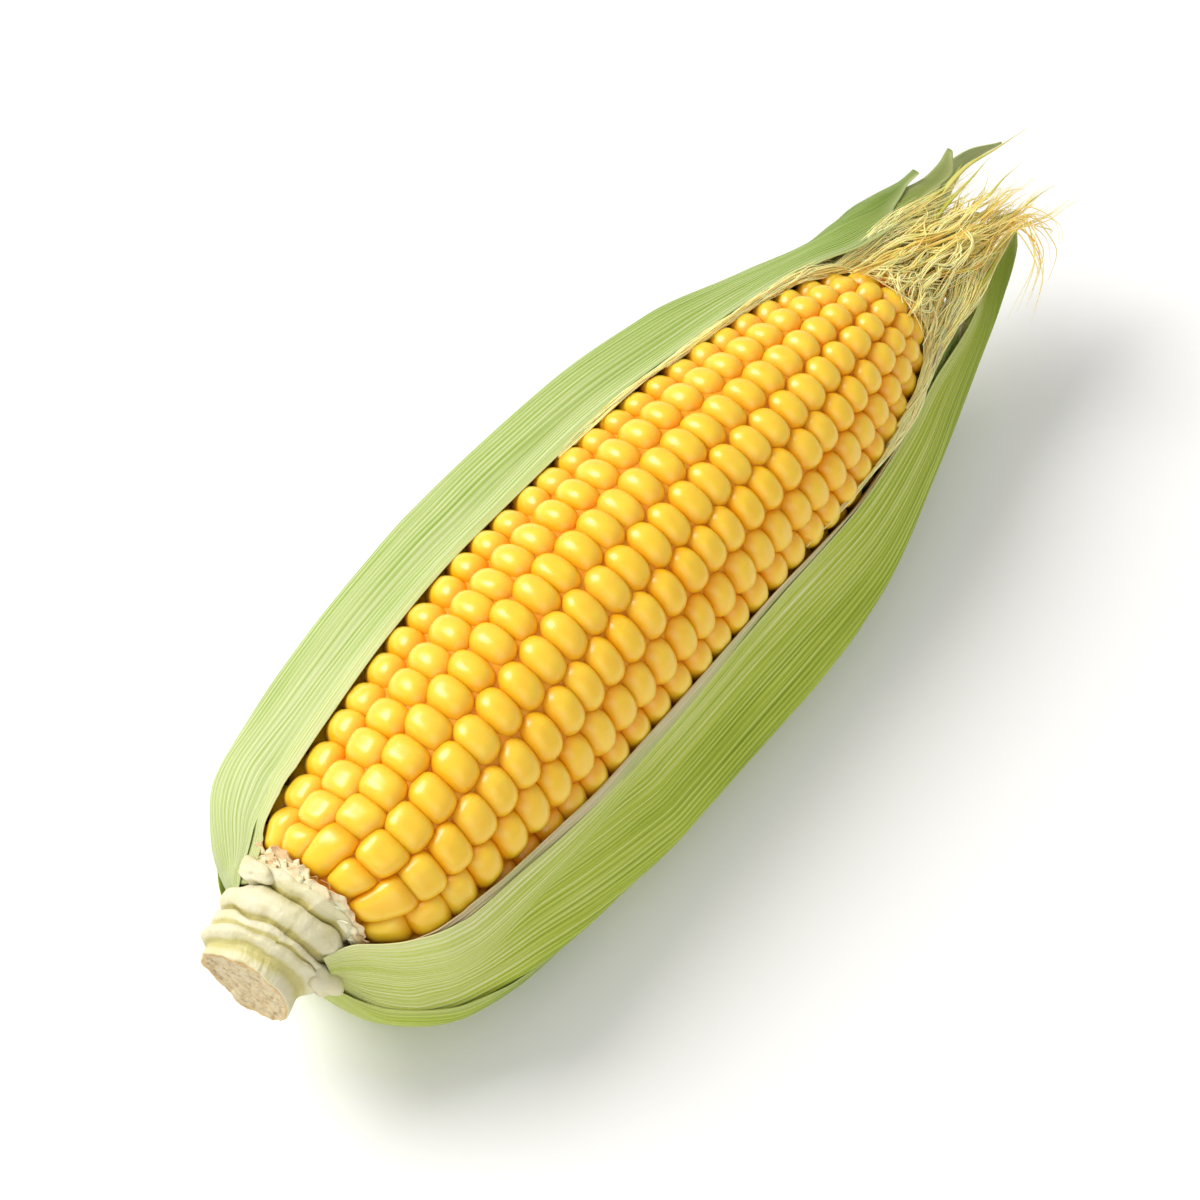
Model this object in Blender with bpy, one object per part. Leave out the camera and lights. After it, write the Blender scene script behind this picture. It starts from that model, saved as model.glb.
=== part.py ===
"""An ear of sweet corn, picked and opened, lying on its side.

The husk is folded back to show the kernels, and what is left of it lies flat on the surface under the ear.
The row frame: +X from the cut shank to the tip, +Z up, the origin at the bottom centre of the whole.
Lengths below are millimetres; the meshes are made in metres.

The ear frame: s runs along the axis from the butt (0) to the tip (EAR_LENGTH), v points out of the husk's
opening, and u points to the right of it seen from outside. Angles go round the axis from v towards u.
"""

import bmesh
import bpy
import numpy as np

# ---- driving dimensions, in millimetres ---------------------------------
EAR_LENGTH = 180.0          # kernels, butt to tip
REST_HEIGHT = 32.6          # ear axis above the surface it lies on
ROLL = 21.108               # degrees that the husk's opening is rolled from straight up
CENTRE_X, CENTRE_Y = 100.9, 0.0   # ear-frame point that becomes the origin
HUSK_THICKNESS = 0.72
HUSK_PITCH = 1.6            # from one whorl's outer face to the next one's

# ear radius along the axis
EAR_S = (0, 4, 10, 25, 45, 65, 85, 112, 129, 142, 156, 166, 173, 177, 180)
EAR_R = (15, 18.9, 21.9, 24.1, 25.6, 26.0, 25.6, 24.4, 22.9, 21.0, 17.9, 14.2, 9.7, 6, 0)
# sideways bend of the ear's axis
BOW_S = (-40, 0, 20, 45, 70, 105, 135, 180, 225)
BOW_U = (5.5, 4.9, 3.6, 1.2, -0.2, -0.6, 0.4, 0.6, 0.4)
# the shank leaves the ear off its centre line: how far, and how wide it and the butt are where they shift
LEAN_S = (-20, -12.5, -5, -1, 4, 8, 14)
LEAN_U = (-2.4, -4.1, -4.0, -3.4, -2.0, -1.0, 0.0)
LEAN_R_S = (-4, 0, 4, 10)
LEAN_R = (13, 15.5, 19.2, 22.1)
# how far the husk stands out to the right and the left of the axis
RIGHT_S = (-9, -8, -4.5, -1, 3.5, 10, 23, 45, 65, 100, 112, 130, 155, 175, 195, 207, 222)
RIGHT_U = (11.9, 12.2, 19.3, 23.3, 26.8, 30.4, 35.4, 40.9, 42.5, 42.3, 41.6, 38.4, 30.6, 23.4, 15.6, 10.8, 6.0)
LEFT_S = (-9, -8, -5, -1.7, 6, 14, 30, 57, 70, 111, 136, 157, 174, 190, 198, 208, 222)
LEFT_U = (11.9, 12.6, 22.3, 26.5, 32.4, 34.5, 36.5, 37.1, 37.6, 36.0, 32.8, 25.6, 20.4, 19.0, 18.5, 16.0, 8.5)
# radius of the husk where its edges meet the kernels, right and left
REDGE_S = (-9, -8, -4, 2, 10, 25, 45, 70, 100, 130, 155, 168, 185, 198, 207, 222)
REDGE_R = (11.9, 12.1, 15.2, 21.2, 25.5, 27.4, 28.4, 28.4, 27.6, 25.8, 21.8, 18.2, 14.9, 9.6, 8.2, 5.0)
LEDGE_S = (-9, -8, -4, 3, 12, 29, 56, 79, 111, 130, 155, 174, 186, 198, 208, 222)
LEDGE_R = (11.9, 12.1, 15.8, 22.6, 27.0, 28.6, 29.4, 28.9, 27.2, 25.6, 22.0, 19.0, 17.6, 17.0, 15.0, 8.0)
# radius of the same closed form over the open side
OPEN_S = (-9, -8, -6, -3, 0, 4, 10, 25, 45, 65, 85, 112, 129, 142, 156, 166, 175, 190, 207, 222)
OPEN_R = (11.9, 12.0, 12.9, 15.0, 18.2, 21.9, 24.8, 26.9, 28.2, 28.6, 28.2, 27.0, 25.6, 23.8, 20.9, 17.9, 14.8, 12.0, 9.0, 5.0)
SIN_ROLL = float(np.sin(np.radians(ROLL)))
COS_ROLL = float(np.cos(np.radians(ROLL)))
ROWS = 16                   # rows of kernels
PITCH_S = (0, 10, 25, 60, 100, 140, 180)
PITCH = (7.6, 7.1, 6.8, 6.35, 6.1, 5.8, 5.4)   # one kernel to the next along a row
GROOVE = 1.1                # how far the grooves between kernels lie under their crowns
FIRST_KERNEL = 3.6
LEAF_STEPS = (0.5, 3.2, 7, 13, 21, 31, 44, 62, 82, 102, 120, 136, 150, 163, 175, 186, 196, 204, 211)
# the shank, from its cut face to the butt of the ear
SHANK_S = (-19.3, -18.4, -15.5, -13.0, -11.0, -9.4, -6.0, -3.5, -1.6, -0.7)
SHANK_R = (9.3, 9.9, 9.8, 10.6, 10.9, 10.7, 10.4, 10.5, 12.4, 12.4)
GAP = 0.3
# the silk: half widths across and up, and the middle, along the tuft that stands out of the tip
SILK_S = (181.2, 184, 190, 198, 206, 213, 219)
SILK_HALF_U = (3.5, 5.4, 6.4, 7.6, 8.0, 6.2, 2.4)
SILK_HALF_V = (2.6, 4.2, 4.6, 4.2, 3.4, 2.6, 1.2)
SILK_MID_U = (0.0, -0.4, -1.2, -0.4, 1.2, 2.6, 4.0)
SILK_MID_V = (0.5, 1.4, 2.4, 3.8, 5.4, 6.2, 6.4)
LOCK_RADIUS = 0.7


def smooth_curve(xs, ys, x):
    """Monotone cubic through the points (xs, ys), held flat outside them."""
    xs = np.asarray(xs, float)
    ys = np.asarray(ys, float)
    x = np.clip(np.asarray(x, float), xs[0], xs[-1])
    h = np.diff(xs)
    d = np.diff(ys) / h
    m = np.zeros(len(xs))
    both = d[:-1] * d[1:] > 0
    m[1:-1] = np.where(both, 2 * d[:-1] * d[1:] / np.where(both, d[:-1] + d[1:], 1), 0)
    m[0], m[-1] = d[0], d[-1]
    y = ys
    i = np.clip(np.searchsorted(xs, x, side="right") - 1, 0, len(xs) - 2)
    t = (x - xs[i]) / h[i]
    return (y[i] * (1 + 2 * t) * (1 - t) ** 2 + h[i] * m[i] * t * (1 - t) ** 2
            + y[i + 1] * t * t * (3 - 2 * t) + h[i] * m[i + 1] * t * t * (t - 1))


def step01(x):
    x = np.clip(x, 0, 1)
    return x * x * (3 - 2 * x)


def ear_radius(s):
    return smooth_curve(EAR_S, EAR_R, s)


def bow(s):
    return smooth_curve(BOW_S, BOW_U, s)


# angles round the axis, from the middle of the opening towards the right
FORM_ANGLES = np.array([-180, -160, -140, -120, -99, -90, -82, -66, -40, 0, 40, 66,
                        82, 90, 97.5, 108, 120, 140, 160, 180.0])


def form_radius(theta, s):
    """Radius of the closed form that the husk follows, at angle theta (degrees) and station s."""
    theta, s = np.broadcast_arrays(np.asarray(theta, float), np.asarray(s, float))
    right = smooth_curve(RIGHT_S, RIGHT_U, s)
    left = smooth_curve(LEFT_S, LEFT_U, s)
    redge = smooth_curve(REDGE_S, REDGE_R, s)
    ledge = smooth_curve(LEDGE_S, LEDGE_R, s)
    top = smooth_curve(OPEN_S, OPEN_R, s)
    near = 0.9 * (1 - step01((s - 4) / 20.0))   # the form is rounder at the butt
    k = lambda f: f + (1 - f) * near
    back = 0.5 * k(0.86) * (right + left)
    y = np.stack([back, k(0.905) * left, k(0.93) * left, k(0.965) * left, 1.012 * left,
                  ledge + 0.52 * (left - ledge), ledge, 0.35 * ledge + 0.65 * top, top, top, top,
                  0.35 * redge + 0.65 * top, redge, redge + 0.42 * (right - redge), 1.008 * right,
                  right, k(0.955) * right, k(0.87) * right, k(0.845) * right, back], -1)
    x = FORM_ANGLES
    a = (theta + 180) % 360 - 180
    h = np.diff(x)
    d = np.diff(y, axis=-1) / h
    both = d[..., :-1] * d[..., 1:] > 0
    m = np.zeros_like(y)
    m[..., 1:-1] = np.where(both, 2 * d[..., :-1] * d[..., 1:] / np.where(both, d[..., :-1] + d[..., 1:], 1), 0)
    wrap = np.where(d[..., -1] * d[..., 0] > 0, 2 * d[..., -1] * d[..., 0] / np.where(d[..., -1] * d[..., 0] > 0, d[..., -1] + d[..., 0], 1), 0)
    m[..., 0] = wrap
    m[..., -1] = wrap
    i = np.clip(np.searchsorted(x, a, side="right") - 1, 0, len(x) - 2)
    g = lambda q, j: np.take_along_axis(q, j[..., None], -1)[..., 0]
    hi = h[i]
    t = (a - x[i]) / hi
    return (g(y, i) * (1 + 2 * t) * (1 - t) ** 2 + hi * g(m, i) * t * (1 - t) ** 2
            + g(y, i + 1) * t * t * (3 - 2 * t) + hi * g(m, i + 1) * t * t * (t - 1))


def whorl_radius(theta, s, whorl, inside=0.0, thickness=HUSK_THICKNESS):
    """Radius of a husk leaf of this whorl (0 is outermost) at angle theta; inside=1 gives its inner face."""
    theta, s = np.broadcast_arrays(np.asarray(theta, float), np.asarray(s, float))
    late = whorl - 1
    shift = 1.45 * late * (1 - step01((s - 2) / 24.0))
    se = s - shift
    r = form_radius(theta, se)
    dth = (form_radius(theta + 1.5, se) - form_radius(theta - 1.5, se)) / np.radians(3.0)
    ds = (form_radius(theta, se + 1) - form_radius(theta, se - 1)) / 2
    steep = np.minimum(np.sqrt(1 + (dth / r) ** 2 + ds ** 2), 2.3)
    room = step01((s + 8) / 16.0) * (1 - 0.8 * step01((s - 203) / 15.0))
    room = room * (1 + 0.3 * step01((s - 160) / 20.0))
    side = np.abs((theta + 180) % 360 - 180)
    room = room * (1 + 0.22 * step01((side - 76) / 8.0) * step01((112 - side) / 8.0))
    thin = thickness * (0.72 + 0.28 * step01((s + 9) / 12.0))
    r = np.maximum(r - late * HUSK_PITCH * room * steep, np.where((s > 5) | ((s > 1.5) & (side < 92)), ear_radius(s) + 0.45 + thin * steep, 0))
    # the husk lies flat on the surface under it, each whorl on the one below
    a = np.radians(theta)
    down = SIN_ROLL * np.sin(a) - COS_ROLL * np.cos(a)
    low = whorl * 1.8 + 0.2 * (whorl > 0)
    limit = (REST_HEIGHT - SIN_ROLL * bow(s) - low) / np.where(down > 0.05, down, 0.05)
    limit = np.where(down > 0.05, limit, 1e3)
    r = np.minimum(r, limit)
    return r - inside * thin * steep


def to_row(s, u, v):
    """Ear frame (s along, u to the right, v out of the opening) to the row frame, in millimetres."""
    wide = (np.hypot(u - bow(s), v) - smooth_curve(LEAN_R_S, LEAN_R, s)) / 8.0
    u = u + smooth_curve(LEAN_S, LEAN_U, s) * (1 - step01(wide))
    x = s - CENTRE_X
    y = -COS_ROLL * u - SIN_ROLL * v - CENTRE_Y
    z = REST_HEIGHT - SIN_ROLL * u + COS_ROLL * v
    return np.stack(np.broadcast_arrays(x, y, z), -1)


def polar_row(s, theta, r):
    a = np.radians(theta)
    return to_row(s, bow(s) + r * np.sin(a), r * np.cos(a))


# each leaf: whorl, stations, and its two edges as angles along those stations
LEAVES = {
    "husk_under_outer": (0, (-9.3, 0, 12, 25, 40, 60, 100, 140, 160, 168),
                         (94, 92, 94, 99, 106, 114, 130, 148, 160, 166),
                         (228, 230, 230, 230, 228, 224, 212, 194, 176, 168)),
    "husk_right_outer": (1, (-8.0, -4, 2, 9, 16, 25, 40, 55, 65, 80, 110, 150, 180, 192, 200, 207),
                         (42, 42, 46, 48, 51, 54, 62, 70, 74, 74, 76, 82, 84, 83, 82, 90),
                         (166, 168, 168, 168, 168, 168, 168, 168, 168, 168, 167, 160, 140, 124, 108, 93)),
    "husk_left_outer": (1, (-8.0, 0, 12, 30, 100, 150, 165, 176, 184, 190, 194, 198),
                        (-83, -80, -77, -75, -75, -73, -69, -62, -61, -65, -70, -77),
                        (-170, -172, -172, -172, -170, -160, -148, -128, -100, -86, -82, -80)),
    "husk_right_inner": (2, (-6.2, 0, 7, 14, 25, 40, 52, 68, 120, 136, 150, 165, 178, 188, 195),
                         (60, 54, 48, 47, 51, 57, 62, 64, 70, 75, 74, 65, 58, 56, 58),
                         (150, 152, 152, 152, 152, 152, 152, 150, 146, 142, 136, 120, 98, 76, 62)),
    "husk_left_inner": (2, (-6.4, 0, 7, 20, 100, 150, 165, 176, 186, 192, 199, 204, 208),
                        (-70, -70, -70, -69, -68, -69, -65, -59, -57, -58, -64, -71, -79),
                        (-150, -154, -156, -156, -152, -146, -138, -124, -104, -82, -77, -79, -82)),
    "husk_back_inner": (3, (-5.4, 5, 40, 130, 155, 175, 192, 206, 215, 222),
                        (100, 98, 98, 104, 116, 138, 180, 214, 232, 242),
                        (262, 264, 264, 262, 264, 268, 266, 262, 254, 246)),
}


def leaf_edges(name, s):
    whorl, stations, first, second = LEAVES[name]
    return smooth_curve(stations, first, s), smooth_curve(stations, second, s)


def across(name, s, count):
    """count + 1 angles across a leaf at one station, closer together where the form bends."""
    whorl = LEAVES[name][0]
    a, b = leaf_edges(name, s)
    t = np.linspace(a, b, 121)
    r = whorl_radius(t, np.full_like(t, s), whorl)
    p = np.stack([r * np.sin(np.radians(t)), r * np.cos(np.radians(t))], -1)
    d = np.diff(p, axis=0)
    step = np.hypot(d[:, 0], d[:, 1])
    heading = np.unwrap(np.arctan2(d[:, 1], d[:, 0]))
    turn = np.abs(np.diff(heading, append=heading[-1]))
    way = np.concatenate([[0], np.cumsum(step + 12.0 * turn)])
    return np.interp(np.linspace(0, way[-1], count + 1), way, t)


def clear_scene():
    for obj in list(bpy.data.objects):
        bpy.data.objects.remove(obj, do_unlink=True)


def material(name, colour, roughness, subsurface=0.0):
    mat = bpy.data.materials.new(name)
    mat.use_nodes = True
    shader = mat.node_tree.nodes["Principled BSDF"]
    shader.inputs["Base Color"].default_value = (*colour, 1)
    shader.inputs["Roughness"].default_value = roughness
    shader.inputs["Metallic"].default_value = 0.0
    shader.inputs["Subsurface Weight"].default_value = subsurface
    return mat


def add_mesh(name, points, faces, mat):
    """One closed body from points in millimetres, its faces turned outwards."""
    mesh = bpy.data.meshes.new(name)
    mesh.from_pydata([tuple(p) for p in np.asarray(points) * 0.001], [], faces)
    shape = bmesh.new()
    shape.from_mesh(mesh)
    bmesh.ops.recalc_face_normals(shape, faces=shape.faces)
    shape.to_mesh(mesh)
    shape.free()
    mesh.validate()
    mesh.shade_smooth()
    mesh.set_sharp_from_angle(angle=np.radians(50))
    obj = bpy.data.objects.new(name, mesh)
    bpy.context.scene.collection.objects.link(obj)
    obj.data.materials.append(mat)
    return obj


def loft(name, rings, mat, start=None, end=None):
    """A closed body through rings of equal counts, each end closed on a point or, with none, by a flat face."""
    rings = np.asarray(rings)
    count, n = rings.shape[:2]
    points = list(rings.reshape(-1, 3))
    faces = [(i * n + j, i * n + (j + 1) % n, (i + 1) * n + (j + 1) % n, (i + 1) * n + j)
             for i in range(count - 1) for j in range(n)]
    for tip, base in ((start, 0), (end, (count - 1) * n)):
        if tip is None:
            faces.append(tuple(base + j for j in range(n)))
        else:
            points.append(tip)
            faces += [(base + j, base + (j + 1) % n, len(points) - 1) for j in range(n)]
    return add_mesh(name, points, faces, mat)


def leaf(name, mat, cells):
    """A husk leaf: an outer and an inner face over the husk's form, closed along the edges."""
    whorl, stations = LEAVES[name][:2]
    along = [stations[0]] + [s for s in LEAF_STEPS if stations[0] + 0.8 < s < stations[-1] - 2] + [stations[-1]]
    along = sorted(set(along + ([-6.6, -5.0, -3.2, -1.4] if whorl < 2 else [-5.0, -3.2, -1.4] if whorl == 2 else [-4, -2])))
    outer, inner = [], []
    for s in along:
        t = across(name, s, cells)
        at = np.full_like(t, s)
        outer.append(polar_row(at, t, whorl_radius(t, at, whorl)))
        inner.append(polar_row(at, t, whorl_radius(t, at, whorl, inside=1)))
    rows, n = len(along), cells + 1
    points = np.concatenate([np.array(outer).reshape(-1, 3), np.array(inner).reshape(-1, 3)])
    below = rows * n
    faces = []
    for i in range(rows - 1):
        for j in range(cells):
            a, b, c, d = i * n + j, i * n + j + 1, (i + 1) * n + j + 1, (i + 1) * n + j
            # every quad is split along the same diagonal, so that neighbouring whorls stay clear
            faces += [(a, b, c), (a, c, d)]
            faces += [(below + a, below + c, below + b), (below + a, below + d, below + c)]
        for j in (0, cells):
            a, d = i * n + j, (i + 1) * n + j
            faces.append((a, d, below + d, below + a))
    for i in (0, rows - 1):
        for j in range(cells):
            a, b = i * n + j, i * n + j + 1
            faces.append((a, b, below + b, below + a))
    return add_mesh(name, points, faces, mat)


def kernel_stations():
    """Half-pitch stations: every kernel's ends and middle, along the whole ear."""
    s, found = FIRST_KERNEL, []
    while s < EAR_LENGTH - 4.0:
        pitch = float(smooth_curve(PITCH_S, PITCH, s))
        found += [s, s + pitch / 2]
        s += pitch
    return found


def ear(mat):
    """The cob with its kernels, grown as one: crowns stand over the grooves, staggered from row to row."""
    count = 2 * ROWS
    angles = np.arange(count) * 360.0 / count
    rings = []
    for s, r in ((-GAP, 11.5), (0.0, 13.6)):
        rings.append(polar_row(np.full(count, s), angles, np.full(count, r)))
    for k, s in enumerate(kernel_stations()):
        r = np.full(count, float(ear_radius(s)) - GROOVE)
        for j in range(0, count, 2):
            if (j // 2 + k) % 2 == 0:
                r[j] += GROOVE
        rings.append(polar_row(np.full(count, s), angles, r))
    tip = to_row(EAR_LENGTH, float(bow(EAR_LENGTH)), 0.0)
    return loft("cob_with_kernels", rings, mat, end=tip)


def shank(mat):
    """The stub of stalk that carries the ear, with the scars of the husk leaves that came off it."""
    count = 28
    angles = np.arange(count) * 360.0 / count
    a = np.radians(angles)
    rings = []
    for k, (s, r) in enumerate(zip(SHANK_S, SHANK_R)):
        wave = 0.10 * np.sin(3 * a + 1.7 * k) + 0.06 * np.sin(5 * a + k)
        # the cut is a little slanted
        slant = 0.9 * np.cos(a - 0.5) * np.clip((-13.0 - s) / 6.0, 0, 1)
        rings.append(polar_row(s + slant, angles, r * (1 + 0.1 * wave)))
    return loft("shank", rings, mat)


def silk_tuft(mat):
    count = 16
    a = np.arange(count) * 2 * np.pi / count
    rings = []
    for s in (181.2, 183, 186, 190, 195, 200, 205, 210, 214, 217, 219):
        hu, hv = smooth_curve(SILK_S, SILK_HALF_U, s), smooth_curve(SILK_S, SILK_HALF_V, s)
        mu, mv = smooth_curve(SILK_S, SILK_MID_U, s), smooth_curve(SILK_S, SILK_MID_V, s)
        rings.append(to_row(s, bow(s) + mu + hu * np.cos(a), mv + hv * np.sin(a)))
    return loft("silk_tuft", rings, mat)


def silk_lock(name, first, last, angle_first, angle_last, mat):
    """A lock of silk lying on the kernels, beside the husk's edge."""
    count = 6
    a = np.arange(count) * 2 * np.pi / count
    rings = []
    stations = np.linspace(first, last, 14)
    for k, s in enumerate(stations):
        t = k / (len(stations) - 1)
        angle = np.radians(angle_first + (angle_last - angle_first) * t)
        width = LOCK_RADIUS * (0.35 + 0.65 * np.sin(np.pi * min(1, 0.15 + 0.85 * t) * 0.5))
        r = float(ear_radius(s)) + GAP + LOCK_RADIUS + 0.15
        mid = np.array([bow(s) + r * np.sin(angle), r * np.cos(angle)])
        out = np.array([np.sin(angle), np.cos(angle)])
        side = np.array([out[1], -out[0]])
        uv = mid + width * (np.cos(a)[:, None] * side + 0.8 * np.sin(a)[:, None] * out)
        rings.append(to_row(s, uv[:, 0], uv[:, 1]))
    return loft(name, rings, mat)


clear_scene()
kernel_yellow = material("kernel", (0.90, 0.50, 0.05), 0.35, 0.3)
shank_cream = material("shank", (0.72, 0.70, 0.46), 0.6)
silk_straw = material("silk", (0.72, 0.56, 0.27), 0.55)
outer_green = material("husk_outer", (0.36, 0.50, 0.12), 0.55)
inner_green = material("husk_inner", (0.58, 0.66, 0.30), 0.55)

ear(kernel_yellow)
shank(shank_cream)
leaf("husk_under_outer", outer_green, 15)
leaf("husk_right_outer", outer_green, 15)
leaf("husk_left_outer", outer_green, 13)
leaf("husk_right_inner", inner_green, 12)
leaf("husk_left_inner", inner_green, 12)
leaf("husk_back_inner", inner_green, 14)
silk_tuft(silk_straw)
silk_lock("silk_left_lock", 96, 172, -66, -60, silk_straw)
silk_lock("silk_right_lock", 120, 172, 66, 56, silk_straw)
bpy.context.view_layer.update()
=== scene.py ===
"""The looks of the opened ear of corn: kernels, husk leaves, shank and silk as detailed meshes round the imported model.

Lengths are millimetres in the functions below, and metres in the meshes. The ear frame is part.py's: s along the
axis from the butt, v out of the husk's opening, u to its right, angles from v towards u.
"""

import math

import bpy
import numpy as np
from mathutils import Matrix, Vector


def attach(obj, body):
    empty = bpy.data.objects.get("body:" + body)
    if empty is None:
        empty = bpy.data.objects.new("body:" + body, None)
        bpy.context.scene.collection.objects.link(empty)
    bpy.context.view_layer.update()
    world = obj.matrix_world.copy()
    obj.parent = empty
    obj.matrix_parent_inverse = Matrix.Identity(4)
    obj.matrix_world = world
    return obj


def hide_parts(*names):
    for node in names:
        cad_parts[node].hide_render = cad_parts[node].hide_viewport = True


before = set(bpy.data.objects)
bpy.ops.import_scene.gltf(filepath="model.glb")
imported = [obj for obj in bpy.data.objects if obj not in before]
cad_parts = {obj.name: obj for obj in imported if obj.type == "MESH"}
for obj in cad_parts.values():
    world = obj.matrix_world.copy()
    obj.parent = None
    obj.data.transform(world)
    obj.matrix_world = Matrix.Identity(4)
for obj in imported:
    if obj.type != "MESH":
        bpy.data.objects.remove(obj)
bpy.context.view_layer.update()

# ---- driving dimensions, in millimetres ---------------------------------
EAR_LENGTH = 180.0          # kernels, butt to tip
REST_HEIGHT = 32.6          # ear axis above the surface it lies on
ROLL = 21.108               # degrees that the husk's opening is rolled from straight up
CENTRE_X, CENTRE_Y = 100.9, 0.0   # ear-frame point that becomes the origin
HUSK_THICKNESS = 0.72
HUSK_PITCH = 1.6            # from one whorl's outer face to the next one's

# ear radius along the axis
EAR_S = (0, 4, 10, 25, 45, 65, 85, 112, 129, 142, 156, 166, 173, 177, 180)
EAR_R = (15, 18.9, 21.9, 24.1, 25.6, 26.0, 25.6, 24.4, 22.9, 21.0, 17.9, 14.2, 9.7, 6, 0)
# sideways bend of the ear's axis
BOW_S = (-40, 0, 20, 45, 70, 105, 135, 180, 225)
BOW_U = (5.5, 4.9, 3.6, 1.2, -0.2, -0.6, 0.4, 0.6, 0.4)
# the shank leaves the ear off its centre line: how far, and how wide it and the butt are where they shift
LEAN_S = (-20, -12.5, -5, -1, 4, 8, 14)
LEAN_U = (-2.4, -4.1, -4.0, -3.4, -2.0, -1.0, 0.0)
LEAN_R_S = (-4, 0, 4, 10)
LEAN_R = (13, 15.5, 19.2, 22.1)
# how far the husk stands out to the right and the left of the axis
RIGHT_S = (-9, -8, -4.5, -1, 3.5, 10, 23, 45, 65, 100, 112, 130, 155, 175, 195, 207, 222)
RIGHT_U = (11.9, 12.2, 19.3, 23.3, 26.8, 30.4, 35.4, 40.9, 42.5, 42.3, 41.6, 38.4, 30.6, 23.4, 15.6, 10.8, 6.0)
LEFT_S = (-9, -8, -5, -1.7, 6, 14, 30, 57, 70, 111, 136, 157, 174, 190, 198, 208, 222)
LEFT_U = (11.9, 12.6, 22.3, 26.5, 32.4, 34.5, 36.5, 37.1, 37.6, 36.0, 32.8, 25.6, 20.4, 19.0, 18.5, 16.0, 8.5)
# radius of the husk where its edges meet the kernels, right and left
REDGE_S = (-9, -8, -4, 2, 10, 25, 45, 70, 100, 130, 155, 168, 185, 198, 207, 222)
REDGE_R = (11.9, 12.1, 15.2, 21.2, 25.5, 27.4, 28.4, 28.4, 27.6, 25.8, 21.8, 18.2, 14.9, 9.6, 8.2, 5.0)
LEDGE_S = (-9, -8, -4, 3, 12, 29, 56, 79, 111, 130, 155, 174, 186, 198, 208, 222)
LEDGE_R = (11.9, 12.1, 15.8, 22.6, 27.0, 28.6, 29.4, 28.9, 27.2, 25.6, 22.0, 19.0, 17.6, 17.0, 15.0, 8.0)
# radius of the same closed form over the open side
OPEN_S = (-9, -8, -6, -3, 0, 4, 10, 25, 45, 65, 85, 112, 129, 142, 156, 166, 175, 190, 207, 222)
OPEN_R = (11.9, 12.0, 12.9, 15.0, 18.2, 21.9, 24.8, 26.9, 28.2, 28.6, 28.2, 27.0, 25.6, 23.8, 20.9, 17.9, 14.8, 12.0, 9.0, 5.0)
SIN_ROLL = math.sin(math.radians(ROLL))
COS_ROLL = math.cos(math.radians(ROLL))
ROWS = 16
PITCH_S = (0, 10, 25, 60, 100, 140, 180)
PITCH = (7.6, 7.1, 6.8, 6.35, 6.1, 5.8, 5.4)
FIRST_KERNEL = 3.6


def smooth_curve(xs, ys, x):
    """Monotone cubic through the points (xs, ys), held flat outside them."""
    xs = np.asarray(xs, float)
    ys = np.asarray(ys, float)
    x = np.clip(np.asarray(x, float), xs[0], xs[-1])
    h = np.diff(xs)
    d = np.diff(ys) / h
    m = np.zeros(len(xs))
    both = d[:-1] * d[1:] > 0
    m[1:-1] = np.where(both, 2 * d[:-1] * d[1:] / np.where(both, d[:-1] + d[1:], 1), 0)
    m[0], m[-1] = d[0], d[-1]
    y = ys
    i = np.clip(np.searchsorted(xs, x, side="right") - 1, 0, len(xs) - 2)
    t = (x - xs[i]) / h[i]
    return (y[i] * (1 + 2 * t) * (1 - t) ** 2 + h[i] * m[i] * t * (1 - t) ** 2
            + y[i + 1] * t * t * (3 - 2 * t) + h[i] * m[i + 1] * t * t * (t - 1))


def step01(x):
    x = np.clip(x, 0, 1)
    return x * x * (3 - 2 * x)


def ear_radius(s):
    return smooth_curve(EAR_S, EAR_R, s)


def bow(s):
    return smooth_curve(BOW_S, BOW_U, s)


# angles round the axis, from the middle of the opening towards the right
FORM_ANGLES = np.array([-180, -160, -140, -120, -99, -90, -82, -66, -40, 0, 40, 66,
                        82, 90, 97.5, 108, 120, 140, 160, 180.0])


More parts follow.
